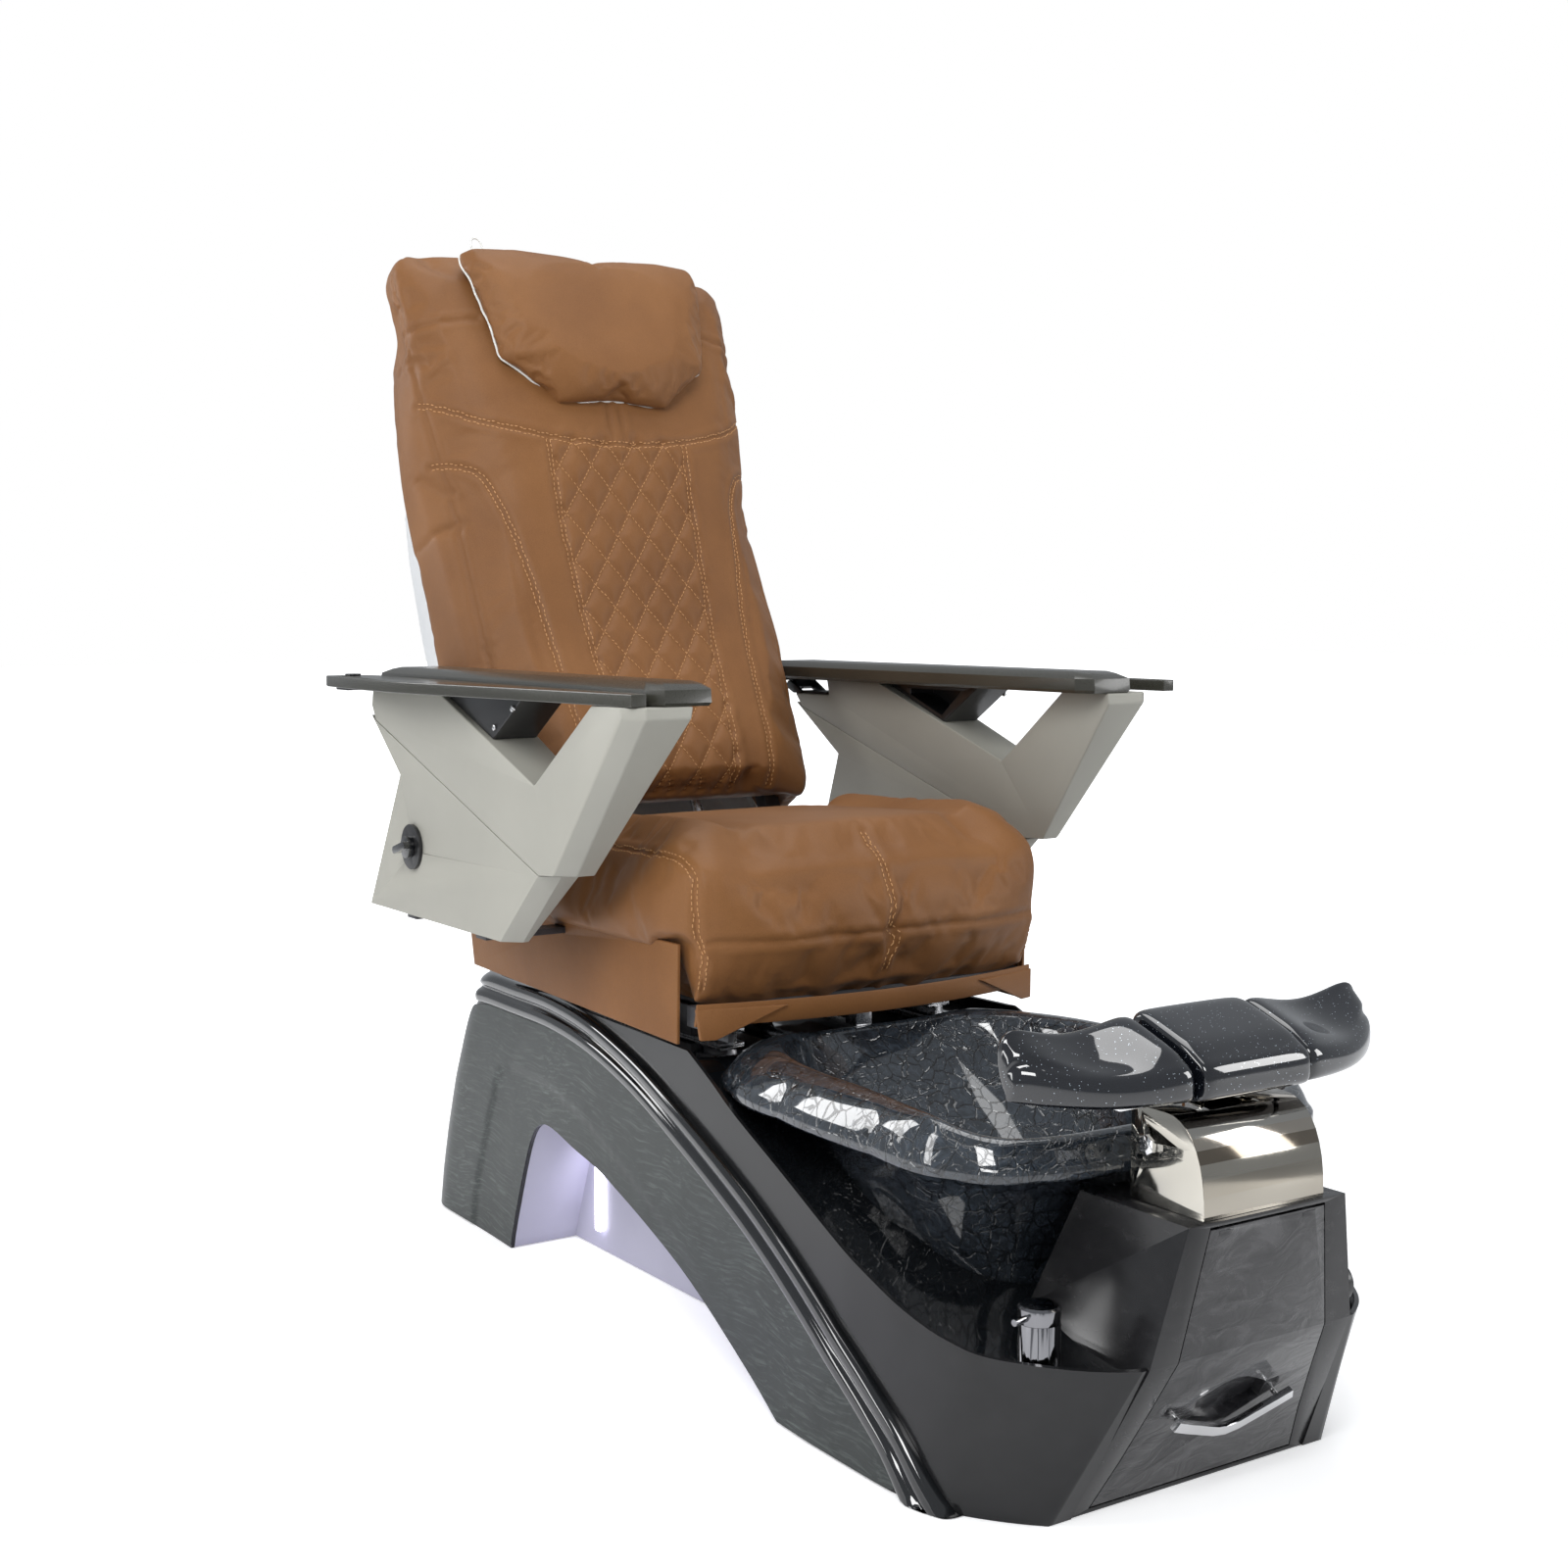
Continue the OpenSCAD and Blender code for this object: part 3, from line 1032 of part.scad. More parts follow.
base_shell();
deck_tray();
side_panel();  // side_panel_left
right() side_panel();  // side_panel_right
side_rails();  // side_rails_left
right() side_rails();  // side_rails_right
recess_liner();  // recess_liner_left
right() recess_liner();  // recess_liner_right
light_bars();
chassis_frame();
levelling_feet();
front_housing();
access_door();
door_handle();
door_hinge_pin();
basin();
drain_strainer();
drain_pump();
jet_cover();
jet_impeller();
jet_motor();
mixer_body();
mixer_lever();
water_knob();
drain_lever();
footrest_bracket();
footrest_pin();
footrest_arm();
footrest_lobe();  // footrest_left
right() footrest_lobe();  // footrest_right
footrest_band();
seat_rails();
slide_motor();
seat_frame();
slide_rod();
seat_cushion();
seat_skirt();
arm_frame();  // arm_frame_left
right() arm_frame();  // arm_frame_right
arm_cover(true);  // arm_cover_left
right() arm_cover(false);  // arm_cover_right
armrest_hinges();
armrest_props();
armrest_pad();  // armrest_left
right() armrest_pad();  // armrest_right
armrest_lug();  // armrest_lug_left
right() armrest_lug();  // armrest_lug_right
tray();  // tray_left
translate([-tray_pivot[0], tray_pivot[1], 0]) rotate(tray_turn_right)  // tray_right
    translate([tray_pivot[0], -tray_pivot[1], 0]) right() tray();
arm_knob_plate();
arm_knob();
recline_motor();
back_frame();
back_shell();
back_cushion();
headrest_pillow();
massage_rods();
massage_carriage();
massage_rollers();
frame_bolts();
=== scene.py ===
import math
import random
import bpy
import bmesh
import numpy as np
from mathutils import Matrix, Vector
from mathutils.bvhtree import BVHTree
from mathutils.kdtree import KDTree
from mathutils.geometry import delaunay_2d_cdt

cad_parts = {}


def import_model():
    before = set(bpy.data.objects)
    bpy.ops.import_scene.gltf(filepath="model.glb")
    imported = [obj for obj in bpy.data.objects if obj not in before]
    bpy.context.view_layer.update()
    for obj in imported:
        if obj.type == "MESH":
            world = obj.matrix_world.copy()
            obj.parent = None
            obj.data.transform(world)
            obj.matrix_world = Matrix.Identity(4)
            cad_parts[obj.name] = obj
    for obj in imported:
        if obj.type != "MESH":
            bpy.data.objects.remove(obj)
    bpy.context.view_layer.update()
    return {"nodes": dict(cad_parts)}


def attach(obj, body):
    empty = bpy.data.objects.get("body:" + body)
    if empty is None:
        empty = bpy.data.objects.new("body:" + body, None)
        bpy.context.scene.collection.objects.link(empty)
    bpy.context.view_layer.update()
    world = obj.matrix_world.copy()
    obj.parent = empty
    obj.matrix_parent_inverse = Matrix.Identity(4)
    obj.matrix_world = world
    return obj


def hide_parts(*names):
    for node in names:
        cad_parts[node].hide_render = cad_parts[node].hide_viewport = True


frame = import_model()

random.seed(7)
MM = 0.001
D = bpy.data
LINK = bpy.context.scene.collection.objects.link

# ------------------------ camera, light, floor
cam_data = D.cameras.new("camera")
cam_data.lens = 48
cam_data.sensor_width = 36
cam = D.objects.new("camera", cam_data)
cam.location = (-1.5592, -2.2687, 0.9303)
cam.rotation_euler = (math.radians(90 - 4.887), 0, math.radians(-33.717))
LINK(cam)
bpy.context.scene.camera = cam

view = bpy.context.scene.view_settings
view.view_transform = "Standard"
view.look = "None"
view.exposure = 0
view.gamma = 1


def area(name, loc, aim, size, power, size_y=None):
    d = D.lights.new(name, "AREA")
    d.energy = power
    d.shape = "RECTANGLE"
    d.size = size
    d.size_y = size_y or size
    o = D.objects.new(name, d)
    o.location = loc
    o.rotation_euler = (Vector(aim) - Vector(loc)).to_track_quat("-Z", "Y").to_euler()
    LINK(o)


area("key", (-2.6, -2.4, 3.2), (0, -0.1, 0.5), 1.6, 95)
area("fill", (2.8, -3.0, 1.9), (0, -0.2, 0.5), 1.3, 56, 2.0)
area("top", (0.2, 0.2, 3.6), (0, 0, 0.4), 2.2, 46)
area("rim", (-2.2, 2.8, 2.2), (0, 0.3, 0.6), 1.0, 38, 1.8)
area("side_strip", (-3.1, 0.4, 1.5), (0, 0.1, 0.5), 0.5, 26, 2.2)

world = D.worlds.new("studio")
bpy.context.scene.world = world
world.use_nodes = True
wt = world.node_tree
wt.nodes.clear()
w_out = wt.nodes.new("ShaderNodeOutputWorld")
w_mix = wt.nodes.new("ShaderNodeMixShader")
w_env = wt.nodes.new("ShaderNodeBackground")
w_see = wt.nodes.new("ShaderNodeBackground")
w_path = wt.nodes.new("ShaderNodeLightPath")
for node, color, power in ((w_env, (0.83, 0.87, 0.92, 1), 0.42), (w_see, (1, 1, 1, 1), 1.0)):
    node.inputs[0].default_value = color
    node.inputs[1].default_value = power
for out, into in ((w_path.outputs["Is Camera Ray"], w_mix.inputs[0]), (w_env.outputs[0], w_mix.inputs[1]),
                  (w_see.outputs[0], w_mix.inputs[2]), (w_mix.outputs[0], w_out.inputs[0])):
    wt.links.new(out, into)


# ------------------------ materials
def times(color, f):
    return tuple(c * f for c in color)


class Mat:
    """A procedural material: n() adds a node, its keyword values are sockets or links."""

    def __init__(self, name, color=(0.5, 0.5, 0.5), rough=0.5, metal=0.0, **more):
        self.m = D.materials.new(name)
        self.m.use_nodes = True
        self.t = self.m.node_tree
        self.b = self.t.nodes["Principled BSDF"]
        self.set("Base Color", (*color, 1))
        self.set("Roughness", rough)
        self.set("Metallic", metal)
        for k, v in more.items():
            self.set(k.replace("_", " "), v)
        c = self.t.nodes.new("ShaderNodeTexCoord")
        self.at = c.outputs["Object"]

    def feed(self, s, v):
        if isinstance(v, bpy.types.NodeSocket):
            self.t.links.new(v, s)
        else:
            s.default_value = v

    def set(self, name, v):
        self.feed(self.b.inputs[name], v)

    def n(self, kind, out=0, props=None, **ins):
        x = self.t.nodes.new("ShaderNode" + kind)
        for k, v in (props or {}).items():
            setattr(x, k, v)
        for k, v in ins.items():
            self.feed(x.inputs[int(k[1:]) if k[0] == "i" and k[1:].isdigit() else k.replace("_", " ")], v)
        return x.outputs[out]

    def noise(self, scale, detail=3, rough=0.55, dist=0.0, at=None):
        return self.n("TexNoise", Vector=at or self.at, Scale=scale, Detail=detail, Roughness=rough, Distortion=dist)

    def voronoi(self, scale, feature="F1", at=None, out="Distance", rand=1.0):
        return self.n("TexVoronoi", out, {"feature": feature}, Vector=at or self.at, Scale=scale, Randomness=rand)

    def ramp(self, fac, stops):
        x = self.t.nodes.new("ShaderNodeValToRGB")
        self.t.links.new(fac, x.inputs[0])
        e = x.color_ramp.elements
        while len(e) < len(stops):
            e.new(0.5)
        for k, (p, c) in enumerate(stops):
            e[k].position = p
            e[k].color = (*c, 1)
        return x.outputs[0]

    def warp(self, scale, amount, detail=2.0):
        """Coordinates pushed about by coloured noise."""
        push = self.n("TexNoise", "Color", Vector=self.at, Scale=scale, Detail=detail)
        return self.n("VectorMath", props={"operation": "MULTIPLY_ADD"}, i0=push, i1=amount, i2=self.at)

    def math(self, op, a, b=0.0):
        return self.n("Math", 0, {"operation": op}, i0=a, i1=b)

    def mix(self, fac, a, b):
        x = self.t.nodes.new("ShaderNodeMix")
        x.data_type = "RGBA"
        for k, v in ((0, fac), (6, a), (7, b)):
            self.feed(x.inputs[k], (*v, 1) if isinstance(v, tuple) else v)
        return x.outputs[2]

    def bump(self, height, strength, dist, normal=None):
        kw = dict(Height=height, Strength=strength, Distance=dist)
        if normal is not None:
            kw["Normal"] = normal
        return self.n("Bump", **kw)


def leather(name, base, dark, light):
    k = Mat(name, base, 0.55, Specular_IOR_Level=0.28, Sheen_Weight=0.04, Sheen_Roughness=0.5)
    big = k.noise(5.0, 4)
    fine = k.noise(620, 2, 0.7)
    tone = k.ramp(big, [(0.32, dark), (0.55, base), (0.75, light)])
    speck = k.ramp(fine, [(0.3, dark), (0.62, light)])
    k.set("Base Color", k.mix(0.28, tone, speck))
    k.set("Roughness", k.n("MapRange", Value=fine, i3=0.42, i4=0.64))
    grain = k.voronoi(760, "SMOOTH_F1")
    nb = k.bump(grain, 0.32, 0.0005)
    nb = k.bump(fine, 0.16, 0.0003, nb)
    nb = k.bump(k.noise(24, 3, 0.6, 0.4), 0.12, 0.004, nb)
    k.set("Normal", nb)
    return k.m


def plastic(name, color, rough, grain=1400, depth=0.12, vary=0.08, coat=0.0, edge_highlight=0.25):
    k = Mat(name, color, rough, Coat_Weight=coat, Coat_Roughness=0.06)
    f = k.noise(grain, 2, 0.6)
    big = k.noise(3.5, 4, 0.6)
    lo = times(color, 1 - vary)
    hi = tuple(min(1, c * (1 + vary)) for c in color)
    tone = k.ramp(big, [(0.35, lo), (0.65, hi)])
    # painted highlight: sharp convex edges (pointiness) are lightened in the base colour, by the edge_highlight amount
    edge = k.n("NewGeometry", "Pointiness")
    tone = k.mix(k.math("MULTIPLY", k.ramp(edge, [(0.52, (0, 0, 0)), (0.60, (1, 1, 1))]), edge_highlight),
                 tone, tuple(min(1, c * 1.5 + 0.02) for c in color))
    k.set("Base Color", tone)
    k.set("Roughness", k.n("MapRange", Value=f, i3=max(0.02, rough - 0.05), i4=min(1, rough + 0.07)))
    k.set("Normal", k.bump(f, depth, 0.0004))
    return k.m


def gloss(name, color, sparkle=0.0, veins=0.0):
    k = Mat(name, color, 0.06, Coat_Weight=1.0, Coat_Roughness=0.03, Specular_IOR_Level=0.5)
    col = k.ramp(k.noise(9, 4), [(0.3, times(color, 0.7)), (0.7, times(color, 1.35))])
    if sparkle:
        cell = k.voronoi(620, out="Color")
        pick = k.n("SeparateColor", Color=cell)
        near = k.ramp(k.voronoi(620), [(0.18, (1, 1, 1)), (0.34, (0, 0, 0))])
        lit = k.math("MULTIPLY", k.math("GREATER_THAN", pick, 1 - sparkle), near)
        col = k.mix(lit, col, (0.75, 0.85, 0.95))
        k.set("Metallic", k.math("MULTIPLY", lit, 0.7))
    if veins:
        warp = k.noise(7, 3, 0.6)
        at = k.warp(11.0, (0.055, 0.055, 0.09), 3.0)
        v1 = k.voronoi(46.0, "DISTANCE_TO_EDGE", at)
        v2 = k.voronoi(92.0, "DISTANCE_TO_EDGE", at)
        line = k.ramp(v1, [(0.0, (1, 1, 1)), (0.055, (0, 0, 0))])
        line2 = k.ramp(v2, [(0.0, (0.7, 0.7, 0.7)), (0.05, (0, 0, 0))])
        gate = k.ramp(warp, [(0.42, (0, 0, 0)), (0.56, (1, 1, 1))])
        lines = k.math("MAXIMUM", line, k.math("MULTIPLY", line2, gate))
        swirl = k.noise(60, 4, 0.6, 1.6, at)
        body = k.ramp(swirl, [(0.3, times(color, 0.55)), (0.5, color), (0.7, times(color, 1.8))])
        col = k.mix(k.math("MULTIPLY", lines, veins), body, (0.002, 0.0025, 0.003))
        k.set("Normal", k.bump(k.math("MULTIPLY", lines, -1.0), 0.5, 0.0012))
    k.set("Base Color", col)
    k.set("Coat Normal", k.bump(k.noise(14, 2), 0.05, 0.002))
    return k.m


def streaked(name, base, hi, rot, rough=0.36, along=14.0, across=150.0, strength=0.55, coat=0.35, spec=0.3):
    """Satin moulding with fine diagonal brush-like streaks."""
    k = Mat(name, base, rough, Coat_Weight=coat, Coat_Roughness=0.16, Metallic=0.1, Specular_IOR_Level=spec)
    m = k.n("Mapping", Vector=k.warp(6.0, (0.05, 0.05, 0.05)), Scale=(across, along, across), Rotation=rot)
    s = k.n("TexNoise", Vector=m, Scale=1.0, Detail=5.0, Roughness=0.65)
    s2 = k.n("TexNoise", Vector=m, Scale=2.7, Detail=3.0, Roughness=0.7)
    big = k.noise(4.5, 3)
    f = k.math("MULTIPLY", k.ramp(s, [(0.50, (0, 0, 0)), (0.72, (1, 1, 1))]), strength)
    f = k.math("ADD", f, k.math("MULTIPLY", k.ramp(s2, [(0.58, (0, 0, 0)), (0.8, (1, 1, 1))]), strength * 0.5))
    f = k.math("MULTIPLY", f, k.ramp(big, [(0.3, (0.25, 0.25, 0.25)), (0.62, (1, 1, 1))]))
    dark = k.ramp(k.noise(16, 4, 0.7, 0.8), [(0.3, times(base, 0.72)), (0.7, times(base, 1.12))])
    k.set("Base Color", k.mix(f, dark, hi))
    k.set("Roughness", k.n("MapRange", Value=s, i3=rough - 0.07, i4=rough + 0.10))
    k.set("Normal", k.bump(s, 0.10, 0.0006))
    return k.m


def chrome(name, rough=0.04, tint=(0.80, 0.80, 0.81)):
    k = Mat(name, tint, rough, 1.0)
    k.set("Roughness", k.n("MapRange", Value=k.noise(55, 4, 0.7), i3=rough * 0.5, i4=rough * 2.0))
    k.set("Base Color", k.ramp(k.noise(18, 3), [(0.3, times(tint, 0.93)), (0.7, tint)]))
    k.set("Normal", k.bump(k.noise(9, 2), 0.03, 0.002))
    return k.m


M = {
    "leather": leather("leather", (0.205, 0.086, 0.026), (0.155, 0.062, 0.018), (0.250, 0.110, 0.036)),
    "thread": plastic("thread", (0.46, 0.24, 0.095), 0.6, 3000, 0.3),
    "piping": plastic("piping", (0.70, 0.70, 0.67), 0.32, 900, 0.05, 0.05, 0.3),
    "arm": plastic("arm", (0.345, 0.337, 0.296), 0.5, 1300, 0.22, 0.04, 0.0, 0.12),
    "pad": plastic("pad", (0.034, 0.033, 0.0255), 0.27, 1500, 0.10, 0.12, 0.25, 0.35),
    "plastic": plastic("plastic", (0.012, 0.012, 0.013), 0.33, 1200, 0.14, 0.2, 0.15),
    "black": gloss("black", (0.0045, 0.0052, 0.0062)),
    "sparkle": gloss("sparkle", (0.006, 0.007, 0.010), sparkle=0.055),
    "bowl": gloss("bowl", (0.024, 0.030, 0.038), veins=1.0),
    "shell": streaked("shell", (0.012, 0.012, 0.013), (0.030, 0.029, 0.031), (0.2, 0.1, 0.3),
                      0.20, 9.0, 30.0, 0.3, 0.42, 0.25),
    "panel": streaked("panel", (0.026, 0.031, 0.030), (0.120, 0.142, 0.132), (0.62, 0.0, 0.0),
                      0.36, 14.0, 260.0, 0.75, 0.25),
    "housing": streaked("housing", (0.013, 0.0128, 0.014), (0.040, 0.039, 0.041), (0.5, 0.3, 0.4),
                        0.24, 18.0, 60.0, 0.5, 0.45),
    "chrome": chrome("chrome"),
    "smoke": chrome("smoke", 0.05, (0.27, 0.27, 0.285)),
    "steel": plastic("steel", (0.05, 0.05, 0.055), 0.42, 900, 0.15, 0.15),
    "bright": chrome("bright", 0.22, (0.55, 0.55, 0.57)),
    "rubber": plastic("rubber", (0.02, 0.02, 0.02), 0.75, 800, 0.3, 0.2),
    "liner": plastic("liner", (0.45, 0.44, 0.53), 0.42, 700, 0.05, 0.05),
    "back_shell": plastic("back_shell", (0.60, 0.61, 0.62), 0.42, 1200, 0.12, 0.04),
}


def door_material():
    k = Mat("door", (0.02, 0.0195, 0.021), 0.22, Coat_Weight=0.6, Coat_Roughness=0.08, Specular_IOR_Level=0.35)
    at = k.n("Mapping", Vector=k.warp(9.0, (0.06, 0.06, 0.06)), Scale=(22, 22, 46), Rotation=(0, 0.5, 0))
    w = k.noise(1.0, 3.0, 0.5, 1.4, at)
    k.set("Base Color", k.ramp(w, [(0.35, (0.009, 0.009, 0.0105)), (0.52, (0.020, 0.0195, 0.0215)),
                                   (0.70, (0.046, 0.045, 0.048))]))
    k.set("Normal", k.bump(w, 0.55, 0.004))
    return k.m


M["door"] = door_material()


def hood_material():
    k = Mat("hood", (0.7, 0.68, 0.64), 0.07, 1.0)
    # painted reflection: the base colour runs through light and dark bands by how far the surface faces up, standing in
    # for the studio mirrored in the chrome
    face = k.n("SeparateXYZ", "Z", None, Vector=k.n("NewGeometry", "True Normal"))
    reflection_band = k.math("ADD", face, k.math("MULTIPLY", k.noise(4, 2), 0.05))
    k.set("Base Color", k.ramp(reflection_band, [
        (0.00, (0.66, 0.64, 0.58)), (0.10, (0.24, 0.20, 0.15)), (0.22, (0.60, 0.57, 0.50)),
        (0.36, (0.15, 0.125, 0.095)), (0.50, (0.40, 0.35, 0.29)), (0.66, (0.62, 0.60, 0.55)),
        (0.80, (0.09, 0.078, 0.066)), (0.97, (0.46, 0.43, 0.38))]))
    k.set("Roughness", k.n("MapRange", Value=k.noise(55, 4, 0.7), i3=0.04, i4=0.13))
    k.set("Normal", k.bump(k.noise(9, 2), 0.03, 0.002))
    return k.m


M["hood"] = hood_material()


def led_material():
    k = Mat("led", (0.95, 0.93, 1.0), 0.4)
    dots = k.voronoi(1.0, at=k.n("Mapping", Vector=k.at, Scale=(40, 40, 110)), rand=0.0)
    k.set("Emission Color", k.ramp(dots, [(0.25, (1.0, 0.99, 1.0)), (0.6, (0.80, 0.78, 1.0))]))
    k.set("Emission Strength", 6.0)
    return k.m


M["led"] = led_material()
glow = Mat("floor", (0.90, 0.90, 0.91), 0.75)
# painted glow: the light bars' lilac light on the floor beside the base is painted into the floor's base colour
painted_bar_glow = glow.n("Mapping", Vector=glow.at, Scale=(1.0, 0.62, 1))
painted_bar_glow = glow.n("VectorMath", "Value", {"operation": "DISTANCE"}, i0=painted_bar_glow, i1=(-0.42, 0.0, 0))
painted_bar_glow = glow.ramp(painted_bar_glow, [(0.0, (0.45, 0.45, 0.45)), (0.42, (0, 0, 0))])
glow.set("Base Color", glow.mix(painted_bar_glow, (0.93, 0.93, 0.935), (0.80, 0.79, 0.93)))
glow.set("Emission Color", (1, 1, 1, 1))
# the far floor runs into the white background, for the camera alone
far = glow.n("VectorMath", "Value", {"operation": "LENGTH"}, i0=glow.at)
seen = glow.n("LightPath", "Is Camera Ray")
far = glow.n("MapRange", Value=far, i1=1.3, i2=5.0, i3=0.35, i4=1.3)
glow.set("Emission Strength", glow.math("MULTIPLY", far, seen))
glow.set("Normal", glow.bump(glow.noise(400, 2), 0.02, 0.0005))


# ------------------------ mesh helpers
def obj(name, me, body, mat, replaces=(), smooth=45):
    o = D.objects.new(name, me)
    LINK(o)
    me.materials.clear()
    for m in (mat if isinstance(mat, (list, tuple)) else [mat]):
        me.materials.append(M[m])
    if smooth:
        me.shade_smooth()
        me.set_sharp_from_angle(angle=math.radians(smooth))
    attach(o, body)
    if replaces:
        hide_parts(*replaces)
    return o


def mesh(verts, faces):
    """Mesh of points given in mm."""
    me = D.meshes.new("m")
    me.from_pydata([tuple(c * MM for c in p) for p in verts], [], [tuple(q) for q in faces])
    me.validate()
    return me


def clean(me, merge=None):
    """Outward normals, with points closer than merge (m) joined first."""
    bm = bmesh.new()
    bm.from_mesh(me)
    if merge:
        bmesh.ops.remove_doubles(bm, verts=bm.verts, dist=merge)
    bmesh.ops.recalc_face_normals(bm, faces=bm.faces)
    bm.to_mesh(me)
    bm.free()
    return me


def modify(o, kind, **values):
    m = o.modifiers.new(kind.lower(), kind)
    for k, v in values.items():
        setattr(m, k, v)
    return m


def apply_all(o):
    dg = bpy.context.evaluated_depsgraph_get()
    me = D.meshes.new_from_object(o.evaluated_get(dg), depsgraph=dg)
    o.modifiers.clear()
    mats = list(o.data.materials)
    o.data = me
    me.materials.clear()
    for m in mats:
        me.materials.append(m)


def bevel(o, width, seg, angle):
    modify(o, "BEVEL", width=width, segments=seg, limit_method="ANGLE", angle_limit=math.radians(angle),
           use_clamp_overlap=True, harden_normals=True, miter_outer="MITER_ARC")


def loft(rings, caps=True):
    """Skin over rings of equally many points."""
    n = len(rings[0])
    v = [p for r in rings for p in r]
    f = []
    for j in range(len(rings) - 1):
        for i in range(n):
            a, b = j * n + i, j * n + (i + 1) % n
            f.append((a, b, b + n, a + n))
    if caps:
        f.append(tuple(range(n - 1, -1, -1)))
        k = (len(rings) - 1) * n
        f.append(tuple(k + i for i in range(n)))
    return v, f


FLAT = 1.5  # degrees between faces that count as one


def refine(name, node, body, mat, width, seg, angle, slot):
    """The CAD's own solids with their coplanar faces joined and edges sharper than angle rounded to width (mm)."""
    bm = bmesh.new()
    bm.from_mesh(frame["nodes"][node].data)
    bmesh.ops.remove_doubles(bm, verts=bm.verts, dist=2e-6)
    bmesh.ops.dissolve_limit(bm, angle_limit=math.radians(FLAT), verts=bm.verts, edges=bm.edges)
    bmesh.ops.triangulate(bm, faces=[f for f in bm.faces if len(f.verts) > 4], ngon_method="EAR_CLIP")
    me = D.meshes.new(name)
    bm.to_mesh(me)
    bm.free()
    o = obj(name, me, body, mat, [node], 0)
    me.shade_smooth()
    bevel(o, width * MM, seg, angle)
    return o


def tube(points, r, sides):
    """Closed round tube along a loop of points (mm)."""
    loop = [Vector(p) for p in points]
    up = Vector((0.13, 0.22, 0.97))
    turn = [2 * math.pi * k / sides for k in range(sides)]
    rings = []
    for i, p in enumerate(loop):
        t = (loop[(i + 1) % len(loop)] - loop[i - 1]).normalized()
        s = t.cross(up)
        if s.length < 0.05:
            s = t.cross(Vector((1, 0, 0)))
        s.normalize()
        u = s.cross(t)
        rings.append([p + (s * math.cos(g) + u * math.sin(g)) * r for g in turn])
    return loft(rings + rings[:1], caps=False)


def smooth_table(tab, sigma):
    """Table read as a curve whose corners are rounded over sigma."""
    samples = 1500
    xs = np.linspace(tab[0][0], tab[-1][0], samples)
    ys = np.interp(xs, [r[0] for r in tab], [r[1] for r in tab])
    h = xs[1] - xs[0]
    w = int(3 * sigma / h)
    ker = np.exp(-0.5 * (np.arange(-w, w + 1) * h / sigma) ** 2)
    ker /= ker.sum()
    ext = np.concatenate([2 * ys[0] - ys[w:0:-1], ys, 2 * ys[-1] - ys[-2:-w - 2:-1]])
    sm = np.convolve(ext, ker, "valid")
    return lambda k: float(np.interp(k, xs, sm))


def spline(pts, n):
    out = []
    p = [np.array(q, float) for q in pts]
    for i in range(len(p) - 1):
        a, b, c, d = p[max(i - 1, 0)], p[i], p[i + 1], p[min(i + 2, len(p) - 1)]
        for k in range(n):
            t = k / n
            cubic = (3 * b - a - 3 * c + d) * t ** 3
            out.append(0.5 * (2 * b + (c - a) * t + (2 * a - 5 * b + 4 * c - d) * t * t + cubic))
    out.append(p[-1])
    return out


def resample(pts, step, closed=False):
    p = [np.array(q, float) for q in pts]
    if closed:
        p.append(p[0])
    s = [0.0]
    for a, b in zip(p, p[1:]):
        s.append(s[-1] + float(np.linalg.norm(b - a)))
    n = max(2, int(round(s[-1] / step)))
    at = np.linspace(0, s[-1], n + 1)
    arr = np.array(p)
    out = np.stack([np.interp(at, s, arr[:, k]) for k in range(arr.shape[1])], 1)
    return list(out[:-1] if closed else out)


def beside(p, d):
    out = []
    for i in range(len(p)):
        v = np.array(p[min(i + 1, len(p) - 1)]) - np.array(p[max(i - 1, 0)])
        v = v / (np.linalg.norm(v) + 1e-9)
        out.append(np.array(p[i]) + d * np.array([-v[1], v[0]]))
    return out


def inside(p, poly):
    x, y = p
    c = False
    for (x0, y0), (x1, y1) in zip(poly, poly[1:] + poly[:1]):
        if (y0 > y) != (y1 > y) and x < (x1 - x0) * (y - y0) / (y1 - y0) + x0:
            c = not c
    return c


def fill2d(loops, step):
    """Triangles over the first loop less the others, with inner points about step apart."""
    pts, edges = [], []
    for lp in loops:
        k = len(pts)
        pts += [(float(a[0]), float(a[1])) for a in lp]
        edges += [(k + i, k + (i + 1) % len(lp)) for i in range(len(lp))]
    polys = [[(float(a[0]), float(a[1])) for a in lp] for lp in loops]
    apart = step * 0.45  # of an inner point from the outlines
    allp = np.array(pts)
    lo, hi = allp.min(0), allp.max(0)
    grid = []
    row = 0
    y = lo[1] + step / 2
    while y < hi[1]:
        x = lo[0] + (step / 2 if row % 2 else step)
        while x < hi[0]:
            if inside((x, y), polys[0]) and not any(inside((x, y), q) for q in polys[1:]):
                if np.min(np.abs(allp - (x, y)).max(1)) > apart:
                    grid.append((x, y))
            x += step
        y += step * 0.87
        row += 1
    v, _, f, *_ = delaunay_2d_cdt([Vector(p) for p in pts + grid], edges, [], 0, 1e-4)
    out = []
    for t in f:
        c = sum((v[i] for i in t), Vector((0, 0))) / len(t)
        if inside((c.x, c.y), polys[0]) and not any(inside((c.x, c.y), q) for q in polys[1:]):
            out.append(tuple(t))
    return [(a.x, a.y) for a in v], out


def plate(loops, step, top, low):
    """Closed solid between two height maps over a filled 2-D region."""
    v2, f2 = fill2d(loops, step)
    n = len(v2)
    v = [top(a, b) for a, b in v2] + [low(a, b) for a, b in v2]
    f = list(f2) + [tuple(n + i for i in reversed(t)) for t in f2]
    count = {}
    for t in f2:
        for a, b in zip(t, t[1:] + t[:1]):
            count[(a, b)] = count.get((a, b), 0) + 1
    for (a, b) in list(count):
        if (b, a) not in count:
            f.append((b, a, n + a, n + b))
    return v, f


